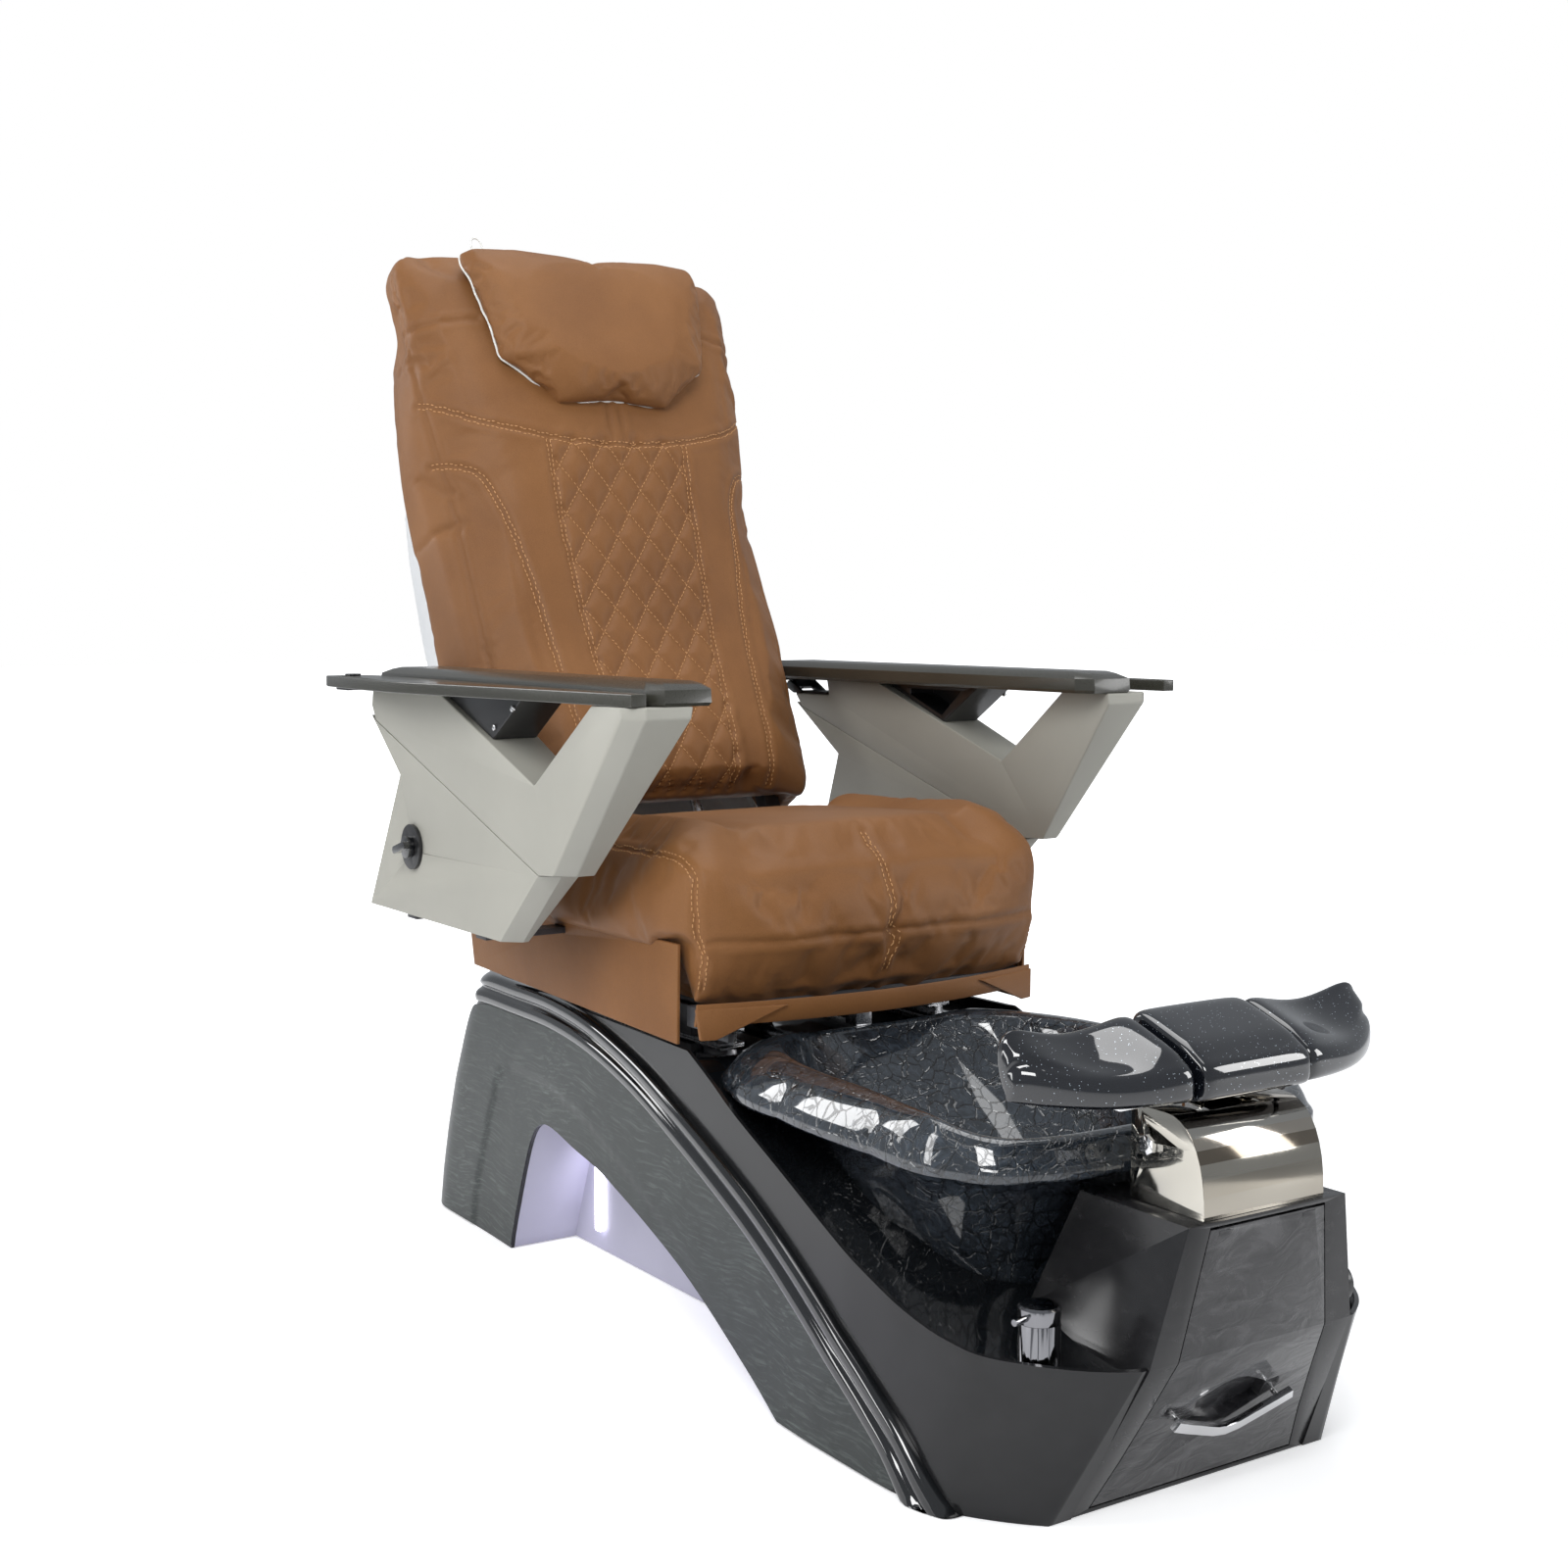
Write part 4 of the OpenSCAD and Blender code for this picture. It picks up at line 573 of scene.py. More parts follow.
# ------------------------ base surfaces (same values as the solids)
DECK, LEDGE, HALF, REAR, FRONT, LEAN = 388, 177, 283, 715, 715, 83
TOWER_LOW, TOWER_MID = 170, 145
rear_f = smooth_table([(0, 0), (60, -12), (128, -31), (211, -60), (300, -103), (335, -125), (366, -159),
                       (400, -215)], 9)
plan_t = (0, 0.012, 0.035, 0.15, 0.3, 0.5, 0.65, 0.78, 0.84, 0.88, 0.905, 0.92, 0.935, 0.955, 0.975, 0.99, 1)
plan_low = (-78, -62, -50, -46, -35, -21, -11, -1, 0, 0, -2, -6, -11, -28, -49, -67, -83)
plan_top = (-78, -62, -50, -46, -35, -21, -11, -1, -3, -9, -16, -25, -38, -55, -79, -103, -130)
half_low = smooth_table(list(zip(plan_t, plan_low)), 0.008)
half_top = smooth_table(list(zip(plan_t, plan_top)), 0.008)


def half_f(t, z):
    k = min(max(z, 0), LEDGE) / LEDGE
    return half_low(t) * (1 - k) + half_top(t) * k


def y_rear(z, off=0.0):
    return REAR + rear_f(z) + off


def y_front(z, off=0.0):
    return -FRONT - LEAN * min(z, LEDGE) / LEDGE - off


def side_x(y, z, off=0.0):
    """Half width of the base at a point of its side."""
    a, b = y_rear(z, off), y_front(z, off)
    return HALF + half_f(min(1, max(0, (y - a) / (b - a))), z) + off


edge_pts = spline([(-110, DECK), (-170, DECK - 26), (-230, DECK - 55), (-342, DECK - 100), (-447, LEDGE + 68),
                   (-541, LEDGE + 33), (-600, LEDGE + 15), (-645, LEDGE + 6), (-680, LEDGE + 0.8), (-725, LEDGE),
                   (-850, LEDGE)], 8)
edge_y = [p[0] for p in reversed(edge_pts)]
edge_v = [p[1] for p in reversed(edge_pts)]


def edge_z(y):
    return float(np.interp(y, edge_y, edge_v))


rail_pts = resample(spline([(560, 366), (500, 371), (390, 371), (270, 371), (150, 360), (27, 334), (-82, 299),
                            (-230, 243), (-321, 202), (-408, 156), (-488, 108), (-560, 58), (-602, 14), (-630, -20)],
                           8), 12)
arch_pts = spline([(420, 0), (408, 40), (370, 135), (345, 182), (318, 204), (280, 208), (210, 196), (100, 177),
                   (-100, 118), (-262, 45), (-345, 0)], 6)


def shell_columns(off):
    """Points round the plan from the rear middle by the left side to the front middle, each a function of z."""
    cols = []
    for x in np.linspace(0, -204, 16)[:-1]:
        cols.append(("rear", x))
    t = 0.0
    for t in list(np.linspace(0, 0.04, 9)) + list(np.linspace(0.045, 0.9, 96)) + list(np.linspace(0.905, 1, 24)):
        cols.append(("side", float(t)))
    for x in np.linspace(0, 1, 6)[1:]:
        cols.append(("front", float(x)))
    out = []
    for kind, k in cols:
        def at(z, kind=kind, k=k):
            if kind == "rear":
                return (k, y_rear(z, off), z)
            if kind == "front":
                inner = TOWER_LOW + (TOWER_MID - TOWER_LOW) * min(z, LEDGE) / LEDGE
                return (-(HALF + half_f(1, z) + off) * (1 - k) - inner * k, y_front(z, off), z)
            return (-(HALF + half_f(k, z) + off), y_rear(z, off) + (y_front(z, off) - y_rear(z, off)) * k, z)
        out.append(at)
    return out


def build_shell():
    cols = shell_columns(0)
    rows = 34
    v, f = [], []
    for at in cols:
        # height at which this column meets the wall's upper edge
        z = 300.0
        for _ in range(30):
            z = 0.5 * z + 0.5 * edge_z(at(z)[1])
        v += [at(z * (k / rows)) for k in range(rows + 1)]
    n = rows + 1
    for i in range(0, (len(cols) - 1) * n, n):
        f += [(i + k, i + k + 1, i + n + k + 1, i + n + k) for k in range(rows)]
    # mirrored half, joined at the rear middle
    m = len(v)
    v += [(-p[0], p[1], p[2]) for p in v]
    f += [tuple(m + i for i in reversed(q)) for q in f]
    me = clean(mesh(v, f), 1e-5)
    o = obj("base_wall", me, "base", "shell", ["base_shell"], 60)
    if max(p.normal.x for p in me.polygons if p.center.x < -0.2 and p.center.z > 0.1) > 0.5:
        me.flip_normals()
    modify(o, "SOLIDIFY", thickness=0.005, offset=-1, use_even_offset=True)
    cut = prism_x([(420, -20)] + [tuple(p) for p in arch_pts] + [(-365, -20)], -400, 400)
    modify(o, "BOOLEAN", operation="DIFFERENCE", object=cut, solver="EXACT")
    apply_all(o)
    D.objects.remove(cut)
    o.data.shade_smooth()
    o.data.set_sharp_from_angle(angle=math.radians(50))
    bevel(o, 0.0014, 2, 50)


def prism_x(outline, x0, x1):
    n = len(outline)
    v = [(x0, p[0], p[1]) for p in outline] + [(x1, p[0], p[1]) for p in outline]
    f = [tuple(range(n)), tuple(range(2 * n - 1, n - 1, -1))]
    f += [(i, n + i, n + (i + 1) % n, (i + 1) % n) for i in range(n)]
    me = clean(mesh(v, f))
    o = D.objects.new("cut", me)
    LINK(o)
    return o


build_shell()

# side panels: a raised skin with an embossed inner contour and a return round the arch
rear_line = [(y_rear(z) - 24, z) for z in np.linspace(3, 318, 26)]
low_rail = [tuple(p) for p in beside(rail_pts, 25) if p[0] < 505 and p[1] > 4]
corner = spline([rear_line[-1], (y_rear(330) - 40, 336), (505, 345), low_rail[0]], 4)[1:-1]
panel_loop = rear_line + [tuple(p) for p in corner] + low_rail + [(-560, 3)]
arch_low = [tuple(p) for p in arch_pts if p[1] > 2.9]
arch_low = [(arch_pts[0][0], 3)] + arch_low + [(-340, 3)]
panel_loop = panel_loop + arch_low[::-1]
panel_loop = [tuple(p) for p in resample(panel_loop, 7, True)]
emboss = resample(spline([(552, 3), (540, 60), (505, 150), (468, 235), (440, 262), (400, 270), (300, 268), (150, 236),
                          (0, 184), (-150, 118), (-260, 60)], 6), 8)
emb = np.array(emboss)


def panel_out(y, z):
    d = np.linalg.norm(emb - (y, z), axis=1)
    k = int(np.argmin(d))
    a = emb[max(k - 1, 0)]
    b = emb[min(k + 1, len(emb) - 1)]
    side = (b[0] - a[0]) * (z - a[1]) - (b[1] - a[1]) * (y - a[0])
    s = d[k] * (1 if side > 0 else -1)
    fade = min(1, max(0, (y + 250) / 500))
    return 4.0 - 2.6 * fade * (0.5 + 0.5 * math.tanh(s / 3.5))


def add_panel(sign, name):
    v, f = plate([panel_loop], 8, lambda y, z: (-side_x(y, z, panel_out(y, z)) * sign, y, z),
                 lambda y, z: (-side_x(y, z, 0.4) * sign, y, z))
    node = "side_panel_left" if sign > 0 else "side_panel_right"
    bevel(obj(name, clean(mesh(v, f)), "base", "panel", [node], 40), 0.0016, 2, 60)


add_panel(1, "panel_left")
add_panel(-1, "panel_right")


# double rails: a strip with two rounded crests swept down each side
def add_rail(sign, name):
    half = [(-23, 0.4), (-23, 5.5), (-21.5, 9.5), (-18, 12.2), (-12, 13), (-6, 11.6), (-2.4, 8.0)]
    prof = half + [(0, 6.6)] + [(-w, h) for w, h in reversed(half)]
    prof = [tuple(p) for p in spline(prof, 3)]
    pts = resample([p for p in rail_pts if p[0] <= 555], 9)
    rings = []
    for i, p in enumerate(pts):
        a, b = pts[max(i - 1, 0)], pts[min(i + 1, len(pts) - 1)]
        t = (b - a) / np.linalg.norm(b - a)
        nrm = np.array([-t[1], t[0]])
        end = min(1.0, 0.25 + i / 4.0)
        ring = []
        for w, h in prof:
            q = p + nrm * w * (0.85 + 0.15 * end)
            z = max(q[1], 0.6)
            y = q[0]
            ring.append((-side_x(y, z, h * end) * sign, y, z))
        rings.append(ring)
    node = "side_rails_left" if sign > 0 else "side_rails_right"
    obj(name, clean(mesh(*loft(rings))), "base", "black", [node], 55)


add_rail(1, "rails_left")
add_rail(-1, "rails_right")

# ------------------------ basin
# the bowl's middle, half length and half width; the rim's lower edge and the bowl's waist
BY, BL, BH, LOW_Z, WAIST_Z = -383, 319, 281, 345, 249.9
# drain and jet: x and radius of their holes, both at y = FITTING_Y
FITTINGS, FITTING_Y = ((-56, 23.0), (44, 29.0)), -462


def step01(v):
    v = min(1, max(0, v))
    return v * v * (3 - 2 * v)


def oblong(a, hw, hl, cy, z, egg, n):
    c, s = math.cos(a), math.sin(a)
    x = hw * math.copysign(abs(c) ** (2 / n), c) * (1 - egg * s)
    return (x, cy + hl * math.copysign(abs(s) ** (2 / n), s), z)


def bowl_pt(a, w, l, cy, z):
    return oblong(a, w * BH, l * BL, cy, z, 0.16, 2.78)


def rim_pt(a, f, z):
    x, y, z = oblong(a, BH - (8 + 51 * f), BL - 47 * f, BY - 12 * f, z, 0.1 + 0.2 * f, 4)
    low = step01((z - LOW_Z - 10) / 30)
    return (x, y, z - low * (16 * step01((BY - 177 - y) / 110) + 12 * step01((y - BY - 236) / 40)))


def even_angles(n):
    fine = [rim_pt(2 * math.pi * i / 4000, 0, LOW_Z)[:2] for i in range(4001)]
    d = [0.0]
    for p, q in zip(fine, fine[1:]):
        d.append(d[-1] + math.dist(p, q))
    return [2 * math.pi * float(np.interp(d[-1] * i / n, d, range(4001))) / 4000 for i in range(n)]


def mid(p, q, t=0.5):
    return tuple(a + (b - a) * t for a, b in zip(p, q))


def basin_column(a):
    r = lambda f, z: rim_pt(a, f, z)
    b = lambda w, l, cy, z: bowl_pt(a, w, l, cy, z)
    out = [b(0.424, 0.326, BY - 79, 167), b(0.52, 0.40, BY - 63, 199), b(0.66, 0.495, BY - 45, WAIST_Z - 6),
           b(0.735, 0.635, BY - 25, 294), b(0.795, 0.765, BY - 9, 338)]
    rim = [r(f, z) for f, z in (
        (0.10, 345), (0.03, 346), (0, 350), (0, 355), (0.02, 361), (0.12, 371), (0.22, 380), (0.32, 388), (0.45, 394.5),
        (0.58, 399), (0.72, 401.5), (0.86, 402), (0.95, 401), (1.0, 398), (1.05, 393), (1.09, 387))]
    wall = [b(0.748, 0.727, BY - 9, 347), b(0.69, 0.60, BY - 27, 298), b(0.62, 0.457, BY - 45, WAIST_Z),
            b(0.50, 0.37, BY - 62, 209), b(0.42, 0.315, BY - 76, 184), b(0.397, 0.295, BY - 79, 177)]
    return out, rim, [mid(rim[-1], wall[0], 0.5)] + wall


def build_basin():
    n = 240
    cols = []
    for i, a in enumerate(even_angles(n)):
        out, rim, wall = basin_column(a)
        u = i / n
        w = abs(math.sin(math.pi * (17 * u + 0.35 * math.sin(2 * math.pi * 3 * u)))) ** 0.75
        push = [0.5, 0.9, 1, 1, 1, 0.95, 0.85, 0.7, 0.5, 0.32, 0.18, 0.08, 0, 0, 0, 0]
        moved = []
        for (x, y, z), k in zip(rim, push):
            d = math.hypot(x, y - BY)
            m = 4.2 * (1 - w) * k
            moved.append((x - x / d * m, y - (y - BY) / d * m, z + (1.6 * (1 - w) if z < 352 else -0.8 * (1 - w) * k)))
        cols.append(out + moved + wall)
    rings = [[c[j] for c in cols] for j in range(len(cols[0]))]
    v, f = loft(rings, caps=False)
    # floor with two round holes
    for j, flip in ((0, True), (len(rings) - 1, False)):
        loop = [(p[0], p[1]) for p in rings[j]]
        z = rings[j][0][2]
        holes = [[(cx + r * math.cos(q), FITTING_Y + r * math.sin(q)) for q in np.linspace(0, 2 * math.pi, 33)[:-1]]
                 for cx, r in FITTINGS]
        v2, f2 = fill2d([loop] + holes, 16)
        k = len(v)
        v += [(a, b, z) for a, b in v2]
        f += [tuple(k + i for i in (reversed(t) if flip else t)) for t in f2]
    obj("foot_basin", clean(mesh(v, f), 2e-5), "base", "bowl", ["basin"], 70)


build_basin()


# ------------------------ deck tray
TRAY_DROP, TRAY_T = 14, 5  # below the wall's upper edge; thickness


def build_tray():
    y0, y1 = y_front(160) + 14, 500
    left = []
    for y in np.arange(y1, y0, -13):
        z = edge_z(y) - TRAY_DROP
        left.append((-side_x(y, z, -5.8), float(y)))
    left.append((-150, y0))
    loop = [(205, 545), (-205, 545)] + left + [(-x, y) for x, y in reversed(left)]
    loop = [tuple(p) for p in resample(loop, 11, True)]
    hole = []
    for i in range(120):
        a = 2 * math.pi * i / 120
        # where the basin's outer wall meets the tray
        out, rim, _ = basin_column(a)
        line = out + rim[:5]
        best = None
        for p, q in zip(line, line[1:]):
            for t in np.linspace(0, 1, 9):
                x, y, z = mid(p, q, t)
                if best is None and z >= edge_z(y) - TRAY_DROP:
                    best = (x, y)
        if best is None:
            best = rim[0][:2]
        hole.append((best[0] * 0.985, BY + (best[1] - BY) * 0.985))
    v, f = plate([loop, hole], 12, lambda x, y: (x, y, edge_z(y) - TRAY_DROP),
                 lambda x, y: (x, y, edge_z(y) - TRAY_DROP - TRAY_T))
    obj("trough", clean(mesh(v, f)), "base", "black", ["deck_tray"], 50)


build_tray()

# ------------------------ hard pieces: the solids with rounded edges
# name, node, body, material, rounding (mm), its segments, least angle (degrees), slot
for row in (
    ("liner_left", "recess_liner_left", "base", "liner", 1.0, 2, 50, "liner"),
    ("liner_right", "recess_liner_right", "base", "liner", 1.0, 2, 50, "liner"),
    ("led_bars", "light_bars", "base", "led", 2.0, 3, 30, "light"),
    ("frame_base", "chassis_frame", "base", "steel", 2.0, 2, 30, "steel"),
    ("feet", "levelling_feet", "base", "rubber", 1.5, 2, 40, "rubber"),
    ("tower", "front_housing", "base", "housing", 3.0, 3, 14, "housing"),
    ("flap", "access_door", "door", "door", 2.2, 3, 14, "housing"),
    ("pull", "door_handle", "door", "chrome", 2.0, 4, 30, "chrome"),
    ("flap_pin", "door_hinge_pin", "base", "chrome", 0.4, 2, 40, "chrome"),
    ("strainer", "drain_strainer", "base", "chrome", 0.8, 2, 40, "chrome"),
    ("pump", "drain_pump", "base", "plastic", 1.5, 2, 40, "plastic"),
    ("jet", "jet_cover", "base", "chrome", 1.0, 2, 40, "chrome"),
    ("fan", "jet_impeller", "impeller", "plastic", 0.5, 2, 40, "plastic"),
    ("jet_drive", "jet_motor", "base", "plastic", 1.2, 2, 40, "plastic"),
    ("tap", "mixer_body", "base", "smoke", 1.5, 3, 40, "chrome"),
    ("tap_top", "mixer_lever", "mixer", "smoke", 1.2, 3, 40, "chrome"),
    ("knob_water", "water_knob", "water_control", "plastic", 2.0, 3, 40, "plastic"),
    ("pull_drain", "drain_lever", "drain_control", "plastic", 0.8, 2, 40, "plastic"),
    ("bracket", "footrest_bracket", "base", "hood", 1.2, 3, 28, "chrome"),
    ("tilt_pin", "footrest_pin", "base", "chrome", 1.0, 2, 30, "chrome"),
    ("foot_arm", "footrest_arm", "footrest", "chrome", 1.2, 2, 30, "steel"),
    ("rails_seat", "seat_rails", "base", "bright", 0.6, 2, 40, "bright"),
    ("drive_slide", "slide_motor", "base", "plastic", 1.5, 2, 40, "plastic"),
    ("rod_slide", "slide_rod", "seat", "bright", 0.8, 2, 40, "bright"),
    ("frame_seat", "seat_frame", "seat", "steel", 1.2, 2, 40, "steel"),
    ("arm_left", "arm_frame_left", "seat", "arm", 2.2, 3, 22, "arm"),
    ("arm_right", "arm_frame_right", "seat", "arm", 2.2, 3, 22, "arm"),
    ("cover_left", "arm_cover_left", "seat", "arm", 2.2, 3, 22, "cover"),
    ("cover_right", "arm_cover_right", "seat", "arm", 2.2, 3, 22, "cover"),
    ("hinges_arm", "armrest_hinges", "seat", "plastic", 0.8, 2, 40, "plastic"),
    ("props_arm", "armrest_props", "seat", "plastic", 1.5, 2, 30, "plastic"),
    ("pad_left", "armrest_left", "rest_left", "pad", 2.5, 4, 18, "pad"),
    ("pad_right", "armrest_right", "rest_right", "pad", 2.5, 4, 18, "pad"),
    ("lug_left", "armrest_lug_left", "rest_left", "plastic", 0.8, 2, 40, "plastic"),
    ("lug_right", "armrest_lug_right", "rest_right", "plastic", 0.8, 2, 40, "plastic"),
    ("table_l", "tray_left", "table_left", "pad", 3.0, 4, 40, "pad"),
    ("table_r", "tray_right", "table_right", "pad", 3.0, 4, 40, "pad"),
    ("knob_plate", "arm_knob_plate", "seat", "plastic", 1.2, 3, 40, "plastic"),
    ("knob_side", "arm_knob", "side_knob", "black", 1.6, 3, 40, "plastic"),
    ("drive_back", "recline_motor", "seat", "plastic", 1.5, 2, 40, "plastic"),
    ("frame_back", "back_frame", "back", "steel", 1.2, 2, 40, "steel"),
    ("shell_back", "back_shell", "back", "back_shell", 4.0, 4, 24, "back_shell"),
    ("rods", "massage_rods", "back", "bright", 0.8, 2, 40, "bright"),
    ("carriage", "massage_carriage", "massage", "plastic", 1.0, 2, 40, "plastic"),
    ("rollers", "massage_rollers", "rollers", "rubber", 3.0, 4, 40, "rubber"),
    ("bolts", "frame_bolts", "seat", "chrome", 0.6, 2, 40, "chrome"),
):
    refine(*row)

# ------------------------ footrest
REST_H, REST_Z, REST_FRONT, REST_REAR = 256, 434, -798, -688


def rest_ring(x, s):
    """Section of the footrest at x, drawn in to the share s of its size about the middle of its length."""
    yf = REST_FRONT + 74 * (abs(x) / REST_H) ** 3.4
    yr = REST_REAR
    zl = REST_Z + 10 * (max(0, abs(x) - 150) / (REST_H - 150)) ** 2
    q = (abs(x) - 172) / 84
    d = 15 * ((1 - q * q) ** 2 if abs(q) < 1 else 0)  # heel hollow
    zf = zl + 42 - d * 0.5
    zr = zl + 78 - d * 0.7
    cy = (yf + yr) / 2

    def mx(t):
        return yf + (yr - yf) * t

    pts = [(yf + 8, zl), (yf, zl + 8), (yf - 0.5, zl + 20), (yf, zf - 12), (yf + 4, zf - 3.5), (yf + 13, zf + 1),
           (mx(0.25), zf + (zr - zf) * 0.22 + 3 - d * 0.5), (mx(0.4), zf + (zr - zf) * 0.4 + 3 - d * 0.6),
           (mx(0.6), zf + (zr - zf) * 0.62 + 3 - d * 0.45), (mx(0.75), zf + (zr - zf) * 0.78 + 3 - d * 0.3),
           (yr - 10, zr), (yr - 1, zr - 7), (yr, zr - 22), (yr - 8, zl + 24), (yr - 26, zl), (mx(0.45), zl)]
    return [(x, cy + (p[0] - cy) * s, zl + (p[1] - zl) * s) for p in pts]


def add_rest(name, rings, node):
    me = clean(mesh(*loft(rings)))
    o = obj(name, me, "footrest", "sparkle", [node], 0)
    me.shade_smooth()
    modify(o, "SUBSURF", levels=2, render_levels=2)


lobe = list(zip([-256.4, -254.6, -250.5, -243, -230, -206, -172, -138, -108, -94, -84, -81],
                [0.62, 0.76, 0.865, 0.935, 0.98, 1.0, 1.0, 1.0, 1.0, 1.0, 0.97, 0.86]))
band = zip([-76, -75, -71, -62, -30, 30, 62, 71, 75, 76],
           [0.92, 0.99, 1.03, 1.05, 1.055, 1.055, 1.05, 1.03, 0.99, 0.92])
add_rest("rest_left", [rest_ring(x, s) for x, s in lobe], "footrest_left")
add_rest("rest_right", [rest_ring(-x, s) for x, s in lobe], "footrest_right")
add_rest("rest_band", [[(x, p[1] - 3, p[2]) for p in rest_ring(0, s)] for x, s in band], "footrest_band")

# ------------------------ soft goods
LEAN_B = math.radians(25.4)  # the backrest's lean at rest, about its hinge
CB, SB = math.cos(LEAN_B), math.sin(LEAN_B)
HINGE_Y, HINGE_Z = 345, 560


def leant(x, y, z):
    return (x, HINGE_Y + y * CB + z * SB, HINGE_Z - y * SB + z * CB)


def soften(name, node, body, voxel, cap, shrink, pressure=4.0, frames=20, stiff=12.0):
    """Leather-covered cushion: the solid is remeshed, drawn in by shrink, and blown up as cloth by cap at most (m)."""
    bm = bmesh.new()
    bm.from_mesh(frame["nodes"][node].data)
    bmesh.ops.remove_doubles(bm, verts=bm.verts, dist=1e-5)
    me = D.meshes.new(name)
    bm.to_mesh(me)
    bm.free()
    o = obj(name, me, body, "leather", [node], 0)
    modify(o, "REMESH", mode="VOXEL", voxel_size=voxel)
    apply_all(o)
    bm = bmesh.new()
    bm.from_mesh(o.data)
    bm.normal_update()
    for _ in range(3):
        bmesh.ops.smooth_vert(bm, verts=bm.verts, factor=0.5, use_axis_x=True, use_axis_y=True, use_axis_z=True)
    bm.normal_update()
    for q in bm.verts:
        q.co -= q.normal * shrink
    bm.to_mesh(o.data)
    bm.free()
    start = [q.co.copy() for q in o.data.vertices]
    c = modify(o, "CLOTH")
    s = c.settings
    s.quality = 5
    s.mass = 0.3
    s.tension_stiffness = s.compression_stiffness = stiff
    s.shear_stiffness = stiff * 0.5
    s.bending_stiffness = 0.8
    s.use_pressure = True
    s.uniform_pressure_force = pressure
    s.effector_weights.gravity = 0
    c.point_cache.frame_start = 1
    c.point_cache.frame_end = frames
    for fr in range(1, frames + 1):
        bpy.context.scene.frame_set(fr)
    apply_all(o)
    bpy.context.scene.frame_set(1)
    for q, p in zip(o.data.vertices, start):
        d = q.co - p
        if d.length > cap:
            q.co = p + d.normalized() * cap
    o.data.shade_smooth()
    return o


def tree(o):
    return BVHTree.FromObject(o, bpy.context.evaluated_depsgraph_get())


def near(paths):
    points = [c for q in paths for c in q]
    k = KDTree(len(points) + 1)
    for n, c in enumerate(points):
        k.insert(c, n)
    k.balance()
    return k


def snap(o, pts):
    t = tree(o)
    return [t.find_nearest(c)[0] for c in pts]


def on_face(o, pts, away):
    """Points put on the cushion's surface, looked for along the direction away from its body."""
    t = tree(o)
    a = away.normalized()
    out = []
    for p in pts:
        hit = t.ray_cast(p + a * 0.25, -a)[0]
        out.append(hit if hit is not None and (hit - p).length < 0.09 else t.find_nearest(p)[0])
    return out


def path(pts, place=lambda *p: p):
    """Smooth run through the listed points, in metres."""
    run = spline([place(*q) for q in pts], 10) if len(pts) > 2 else [place(*q) for q in pts]
    return [Vector(q) * MM for q in resample([tuple(q) for q in run], 3.0)]


def groove(o, seams, depth=0.0024, width=0.0032, puff=0.0012, extra=None):
    """One subdivision, then the seams are drawn in and the leather beside them stands up a little."""
    modify(o, "SUBSURF", levels=1, render_levels=1)
    apply_all(o)
    me = o.data
    n = len(me.vertices)
    co = np.empty(n * 3)
    no = np.empty(n * 3)
    me.vertices.foreach_get("co", co)
    me.vertices.foreach_get("normal", no)
    co, no = co.reshape(-1, 3), no.reshape(-1, 3)
    k = near(seams)
    d = np.array([k.find(c)[2] for c in co])
    move = -depth * np.exp(-(d / width) ** 2) + puff * np.exp(-((d - 0.011) / 0.006) ** 2)
    if extra:
        move += np.array([extra(c) for c in co])
    co += no * move[:, None]
    me.vertices.foreach_set("co", co.reshape(-1))
    me.update()
    me.shade_smooth()


def stitches(name, body, o, seams, off, every=7.0, length=0.0046, r=0.00062):
    """Rows of thread lying on the leather, off to the sides of each seam (m), a stitch every so many mm."""
    t = tree(o)
    verts, faces = [], []
    for seam in seams:
        pts = [Vector(q) * MM for q in resample([tuple(c / MM for c in q) for q in seam], every)]
        for a, b in zip(pts, pts[1:]):
            c = (a + b) / 2
            d = (b - a).normalized()
            side = d.cross(t.find_nearest(c)[1]).normalized()
            for w in off:
                q, m = t.find_nearest(c + side * w)[:2]
                if q is None:
                    continue
                u = (d - m * d.dot(m)).normalized()
                v = m.cross(u)
                k = len(verts)
                for e, f in ((-0.5, 0.35), (-0.32, 1.0), (0.32, 1.0), (0.5, 0.35)):
                    for i in range(6):
                        g = math.pi * i / 3
                        rise = m * (r * 0.45 + r * f * math.sin(g))
                        verts.append(q + rise + v * (r * 1.2 * f * math.cos(g)) + u * (length * e))
                for j in (k, k + 6, k + 12):
                    for i in range(6):
                        n = (i + 1) % 6
                        faces.append((j + i, j + n, j + 6 + n, j + 6 + i))
                faces.append(tuple(k + i for i in range(5, -1, -1)))
                faces.append(tuple(k + 18 + i for i in range(6)))
    me = D.meshes.new(name)
    me.from_pydata([tuple(q) for q in verts], [], faces)
    obj(name, me, body, "thread")


seat = soften("seat_pad", "seat_cushion", "seat", 0.007, 0.022, 0.003)
pillow = soften("pillow", "headrest_pillow", "back", 0.005, 0.016, 0.002)
back = soften("back_pad", "back_cushion", "back", 0.007, 0.022, 0.003)

OUT_BACK = Vector((0, -CB, SB))  # away from the backrest's front
QUILT_W, QUILT_H = 52, 74  # half of a diamond's width and height, mm


def twin(seams):
    return seams + [[(-x, y, z) for x, y, z in q] for q in seams]


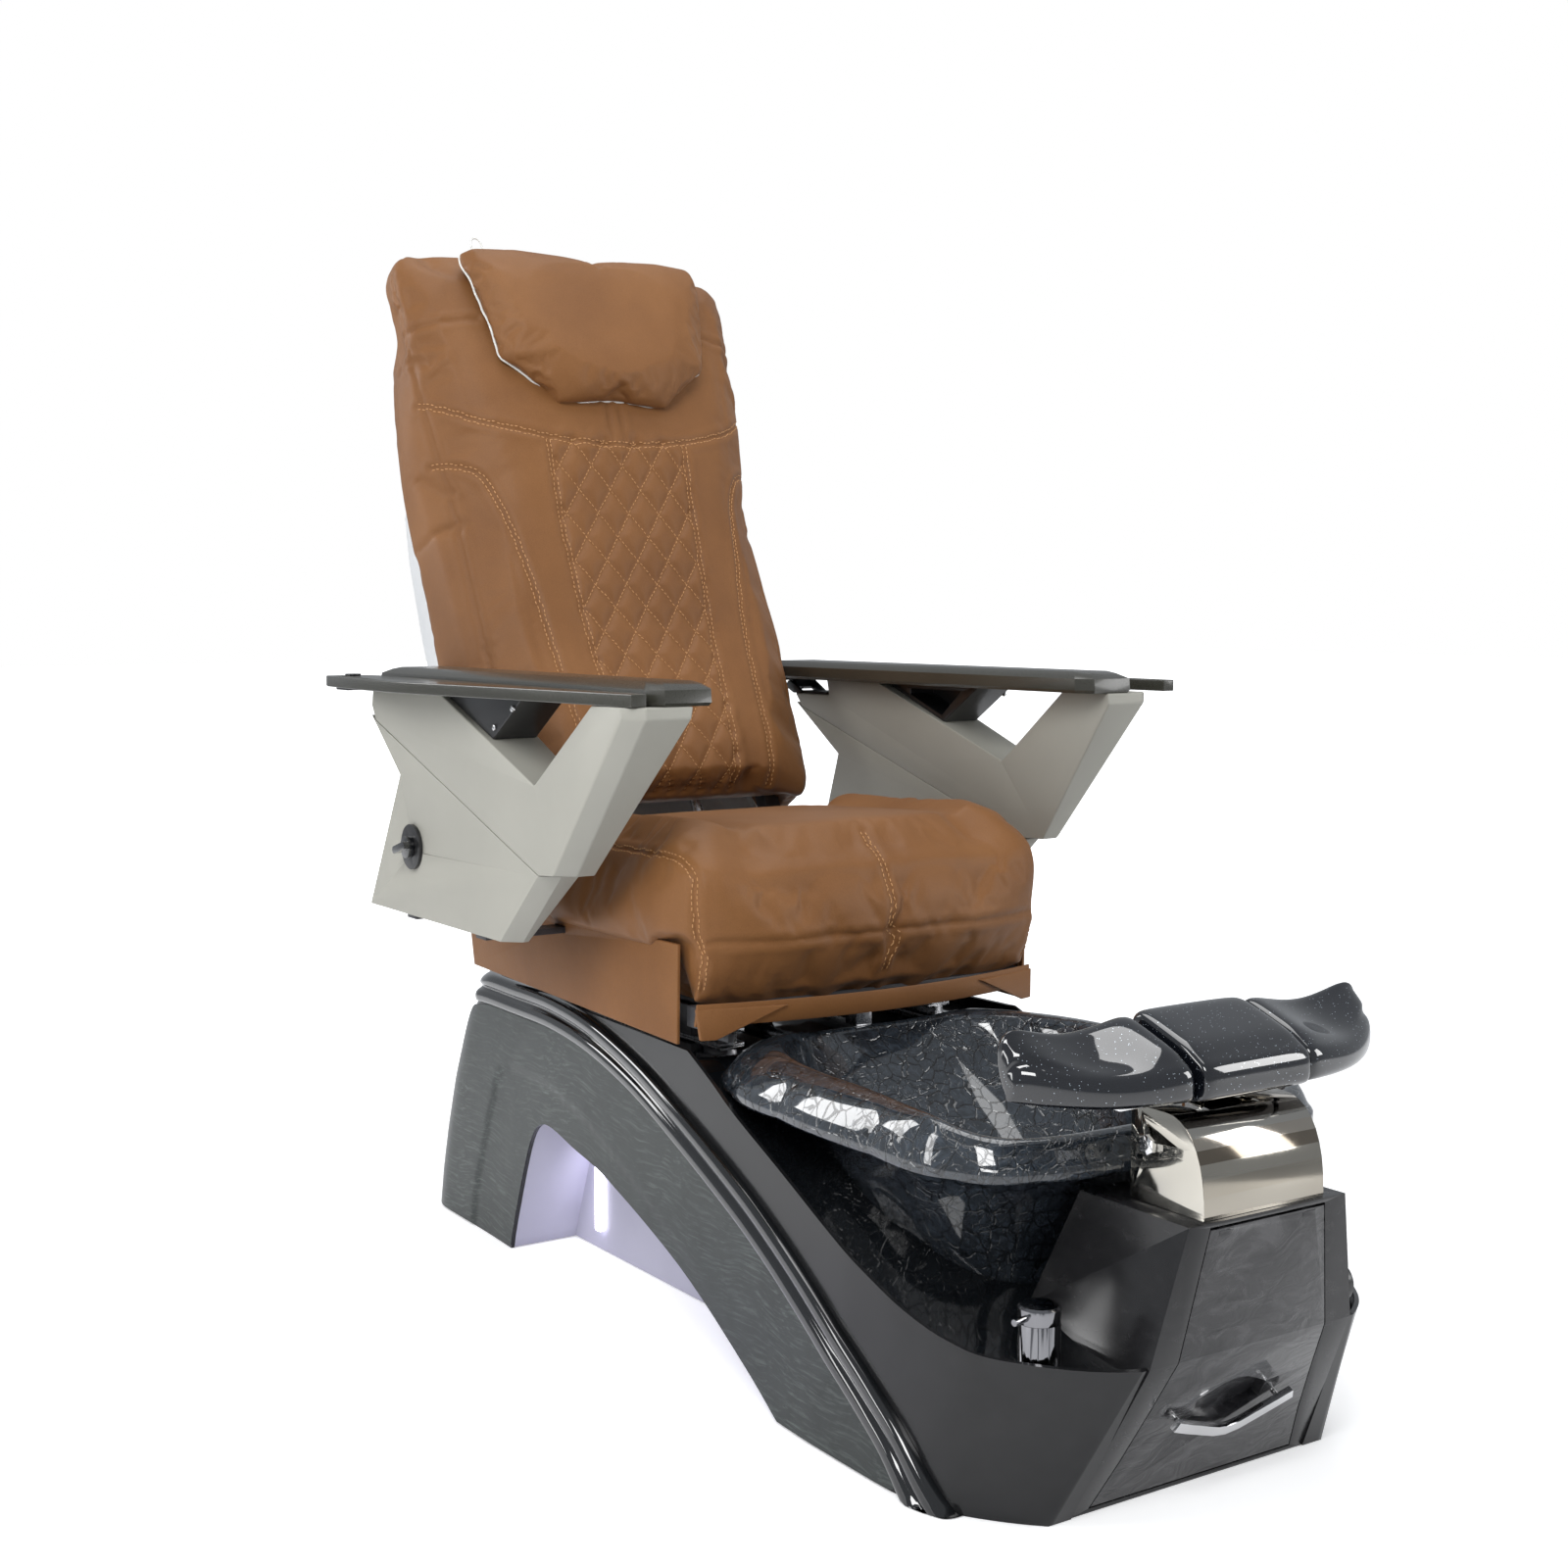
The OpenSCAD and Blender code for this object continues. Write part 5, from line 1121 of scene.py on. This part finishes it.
# backrest: yoke, panel edges, shoulder seams and a field of diamonds
yoke = [(-278, -44, 717), (-207, -75, 664), (-116, -86, 635), (0, -92, 624)]
yoke += [(-x, y, z) for x, y, z in yoke[-2::-1]]
edges = twin([[(-116, -86, 632), (-112, -70, 460), (-102, -60, 284), (-93, -60, 153), (-90, -60, 96)]])
shoulder = twin([[(-270, -41, 624), (-211, -59, 576), (-178, -52, 420), (-164, -51, 286), (-156, -50, 151),
                  (-152, -50, 90)]])
upper = twin([[(-292, -36, 830), (-240, -70, 829), (-188, -89, 828)]])
middle = [[(-10, -95, 628), (-10, -100, 696)], [(10, -95, 628), (10, -100, 696)]]
border = twin([[(-266, -40, 96), (-262, -38, 342), (-266, -38, 514), (-279, -44, 695), (-290, -48, 824),
                (-290, -46, 930)]])
field = []
for k in range(-26, 27):
    for sx in (1, -1):
        # x / QUILT_W + sx * z / QUILT_H = k
        run = []
        for z in np.arange(92, 634, 4):
            x = QUILT_W * (k - sx * z / QUILT_H)
            if abs(x) < 93 + 0.037 * (z - 96):
                run.append((x, -80, float(z)))
        if len(run) > 3:
            field.append(run)
seams_back = [on_face(back, path(q, leant), OUT_BACK) for q in [yoke] + edges + shoulder + upper + middle]
seam_edge = [snap(back, path(q, leant)) for q in border]
diamonds = [on_face(back, [Vector(leant(*c)) * MM for c in q], OUT_BACK) for q in field]
dk = near(diamonds)


def tuck(c):
    d = dk.find(c)[2]
    return -0.0026 * math.exp(-(d / 0.0045) ** 2) + 0.0016 * math.exp(-((d - 0.016) / 0.009) ** 2)


groove(back, seams_back + seam_edge, extra=tuck)
seams_back = [snap(back, q) for q in seams_back]
stitches("back_stitches", "back", back, seams_back[:1], off=(-0.0045, 0.0045))
stitches("panel_stitches", "back", back, seams_back[1:5], off=(0.0045, -0.0045), every=7.4)
stitches("quilt_stitches", "back", back, diamonds, off=(0.0,), every=7.0, length=0.0044, r=0.0005)

# seat: two side seams and one down the middle of the front
side_seam = twin([[(-265, 120, 629), (-265, 40, 629), (-270, -31, 627), (-265, -91, 623), (-264, -114, 616),
                   (-262, -132, 601), (-264, -137, 551), (-263, -142, 500), (-256, -144, 455)]])
mid_seam = [[(0, -112, 640), (0, -130, 638), (0, -165, 630), (0, -188, 602), (0, -196, 567), (0, -190, 528),
             (0, -190, 480), (0, -184, 452)]]
fold = [[(x, -178 + 22 * (x / 258) ** 2, 524) for x in range(-258, 259, 12)]]
seams_seat = [snap(seat, path(q)) for q in side_seam + mid_seam]
seam_fold = [snap(seat, path(q)) for q in fold]
groove(seat, seams_seat + seam_fold)
seams_seat = [snap(seat, q) for q in seams_seat]
stitches("seat_stitches", "seat", seat, seams_seat, off=(-0.0045, 0.0045))

# turned-under hem of the seat cover, in front of the seat board
rows = [(421, 17.5, 19.5), (424, 15.5, 20), (436, 13, 17), (447, 12, 15), (449, 12.5, 14)]
rings = []
for x in range(-262, 263, 6):
    yf = -160 - 30 * (1 - (abs(x) / 284) ** 2) + 17 * (x / 270) ** 2
    rings.append([(x, yf + y0, z) for z, y0, _ in rows] + [(x, yf + y1, z) for z, _, y1 in rows[::-1]])
obj("seat_hem", clean(mesh(*loft(rings))), "seat", "leather")

# pillow: piping round its widest line and a hanging loop
rim = [(-100, -108, 677), (-184, -112, 748), (-205, -114, 820), (-213, -114, 905), (-206, -114, 936), (-150, -116, 941)]
rim += [(0, -116, 941)] + [(-x, y, z) for x, y, z in rim[::-1]] + [(0, -112, 676), rim[0]]
rim_pts = [Vector(leant(*q)) * MM for q in resample(rim, 5)]
groove(pillow, [snap(pillow, rim_pts)], 0.001, 0.004, 0.0006)
rim_on = snap(pillow, rim_pts)
rim_mm = [tuple(c / MM for c in q) for q in rim_on[:-1]]
for _ in range(4):
    after = rim_mm[1:] + rim_mm[:1]
    rim_mm = [tuple((a + 2 * b + c) / 4 for a, b, c in zip(*q)) for q in zip(rim_mm[-1:] + rim_mm[:-1], rim_mm, after)]
obj("pillow_piping", mesh(*tube(rim_mm, 1.9, 10)), "back", "piping")
loop = [leant(-172 + 9 * math.cos(g), -122, 946 + 13 * math.sin(g)) for g in np.linspace(0, 2 * math.pi, 25)[:-1]]
obj("pillow_loop", mesh(*tube(loop, 1.3, 8)), "back", "piping")

# leather flap closing the backrest's cavity above its rear shell
FLAP_LOW, FLAP_TALL, FLAP_HALF = 744, 70, 223
zs = np.linspace(FLAP_LOW, FLAP_LOW + FLAP_TALL, 19)
rings = []
for x in np.linspace(-FLAP_HALF, FLAP_HALF, 75):
    thin = 1.7 * min(1, (FLAP_HALF + 0.6 - abs(x)) / 3)
    bow = 2.2 * (1 - (x / FLAP_HALF) ** 4)
    ys = [float(np.interp(z, (744, 766, 790, 814), (96.5, 91, 84, 76.5)))
          + bow * math.sin(math.pi * (z - FLAP_LOW) / FLAP_TALL) for z in zs]
    rings.append([(x, y - thin, z) for y, z in zip(ys, zs)] + [(x, y + thin, z) for y, z in zip(ys[::-1], zs[::-1])])
rings = [[leant(*q) for q in r] for r in rings]
obj("rear_flap", clean(mesh(*loft(rings))), "back", "leather")

# seat skirt: thin leather flaps with turned edges
skirt = refine("skirt", "seat_skirt", "seat", "leather", 1.6, 3, 30, "skirt")
hem = [[(-272, y, 397 + 0.033 * (y + 109) + 6.5) for y in range(-100, 441, 8)],
       [(-272, -103, z) for z in range(404, 516, 8)]]
hem = [[(x, y, z + (0 if y < 414 else (y - 414) * 0.2)) for x, y, z in q] for q in hem]
stitches("skirt_stitches", "seat", skirt, [snap(skirt, [Vector(c) * MM for c in q]) for q in twin(hem)], off=(0.0,))

# ------------------------ floor
bpy.ops.mesh.primitive_plane_add(size=60, location=(0, 0, -0.0005))
floor = bpy.context.object
floor.name = "floor"
floor.data.materials.append(glow.m)
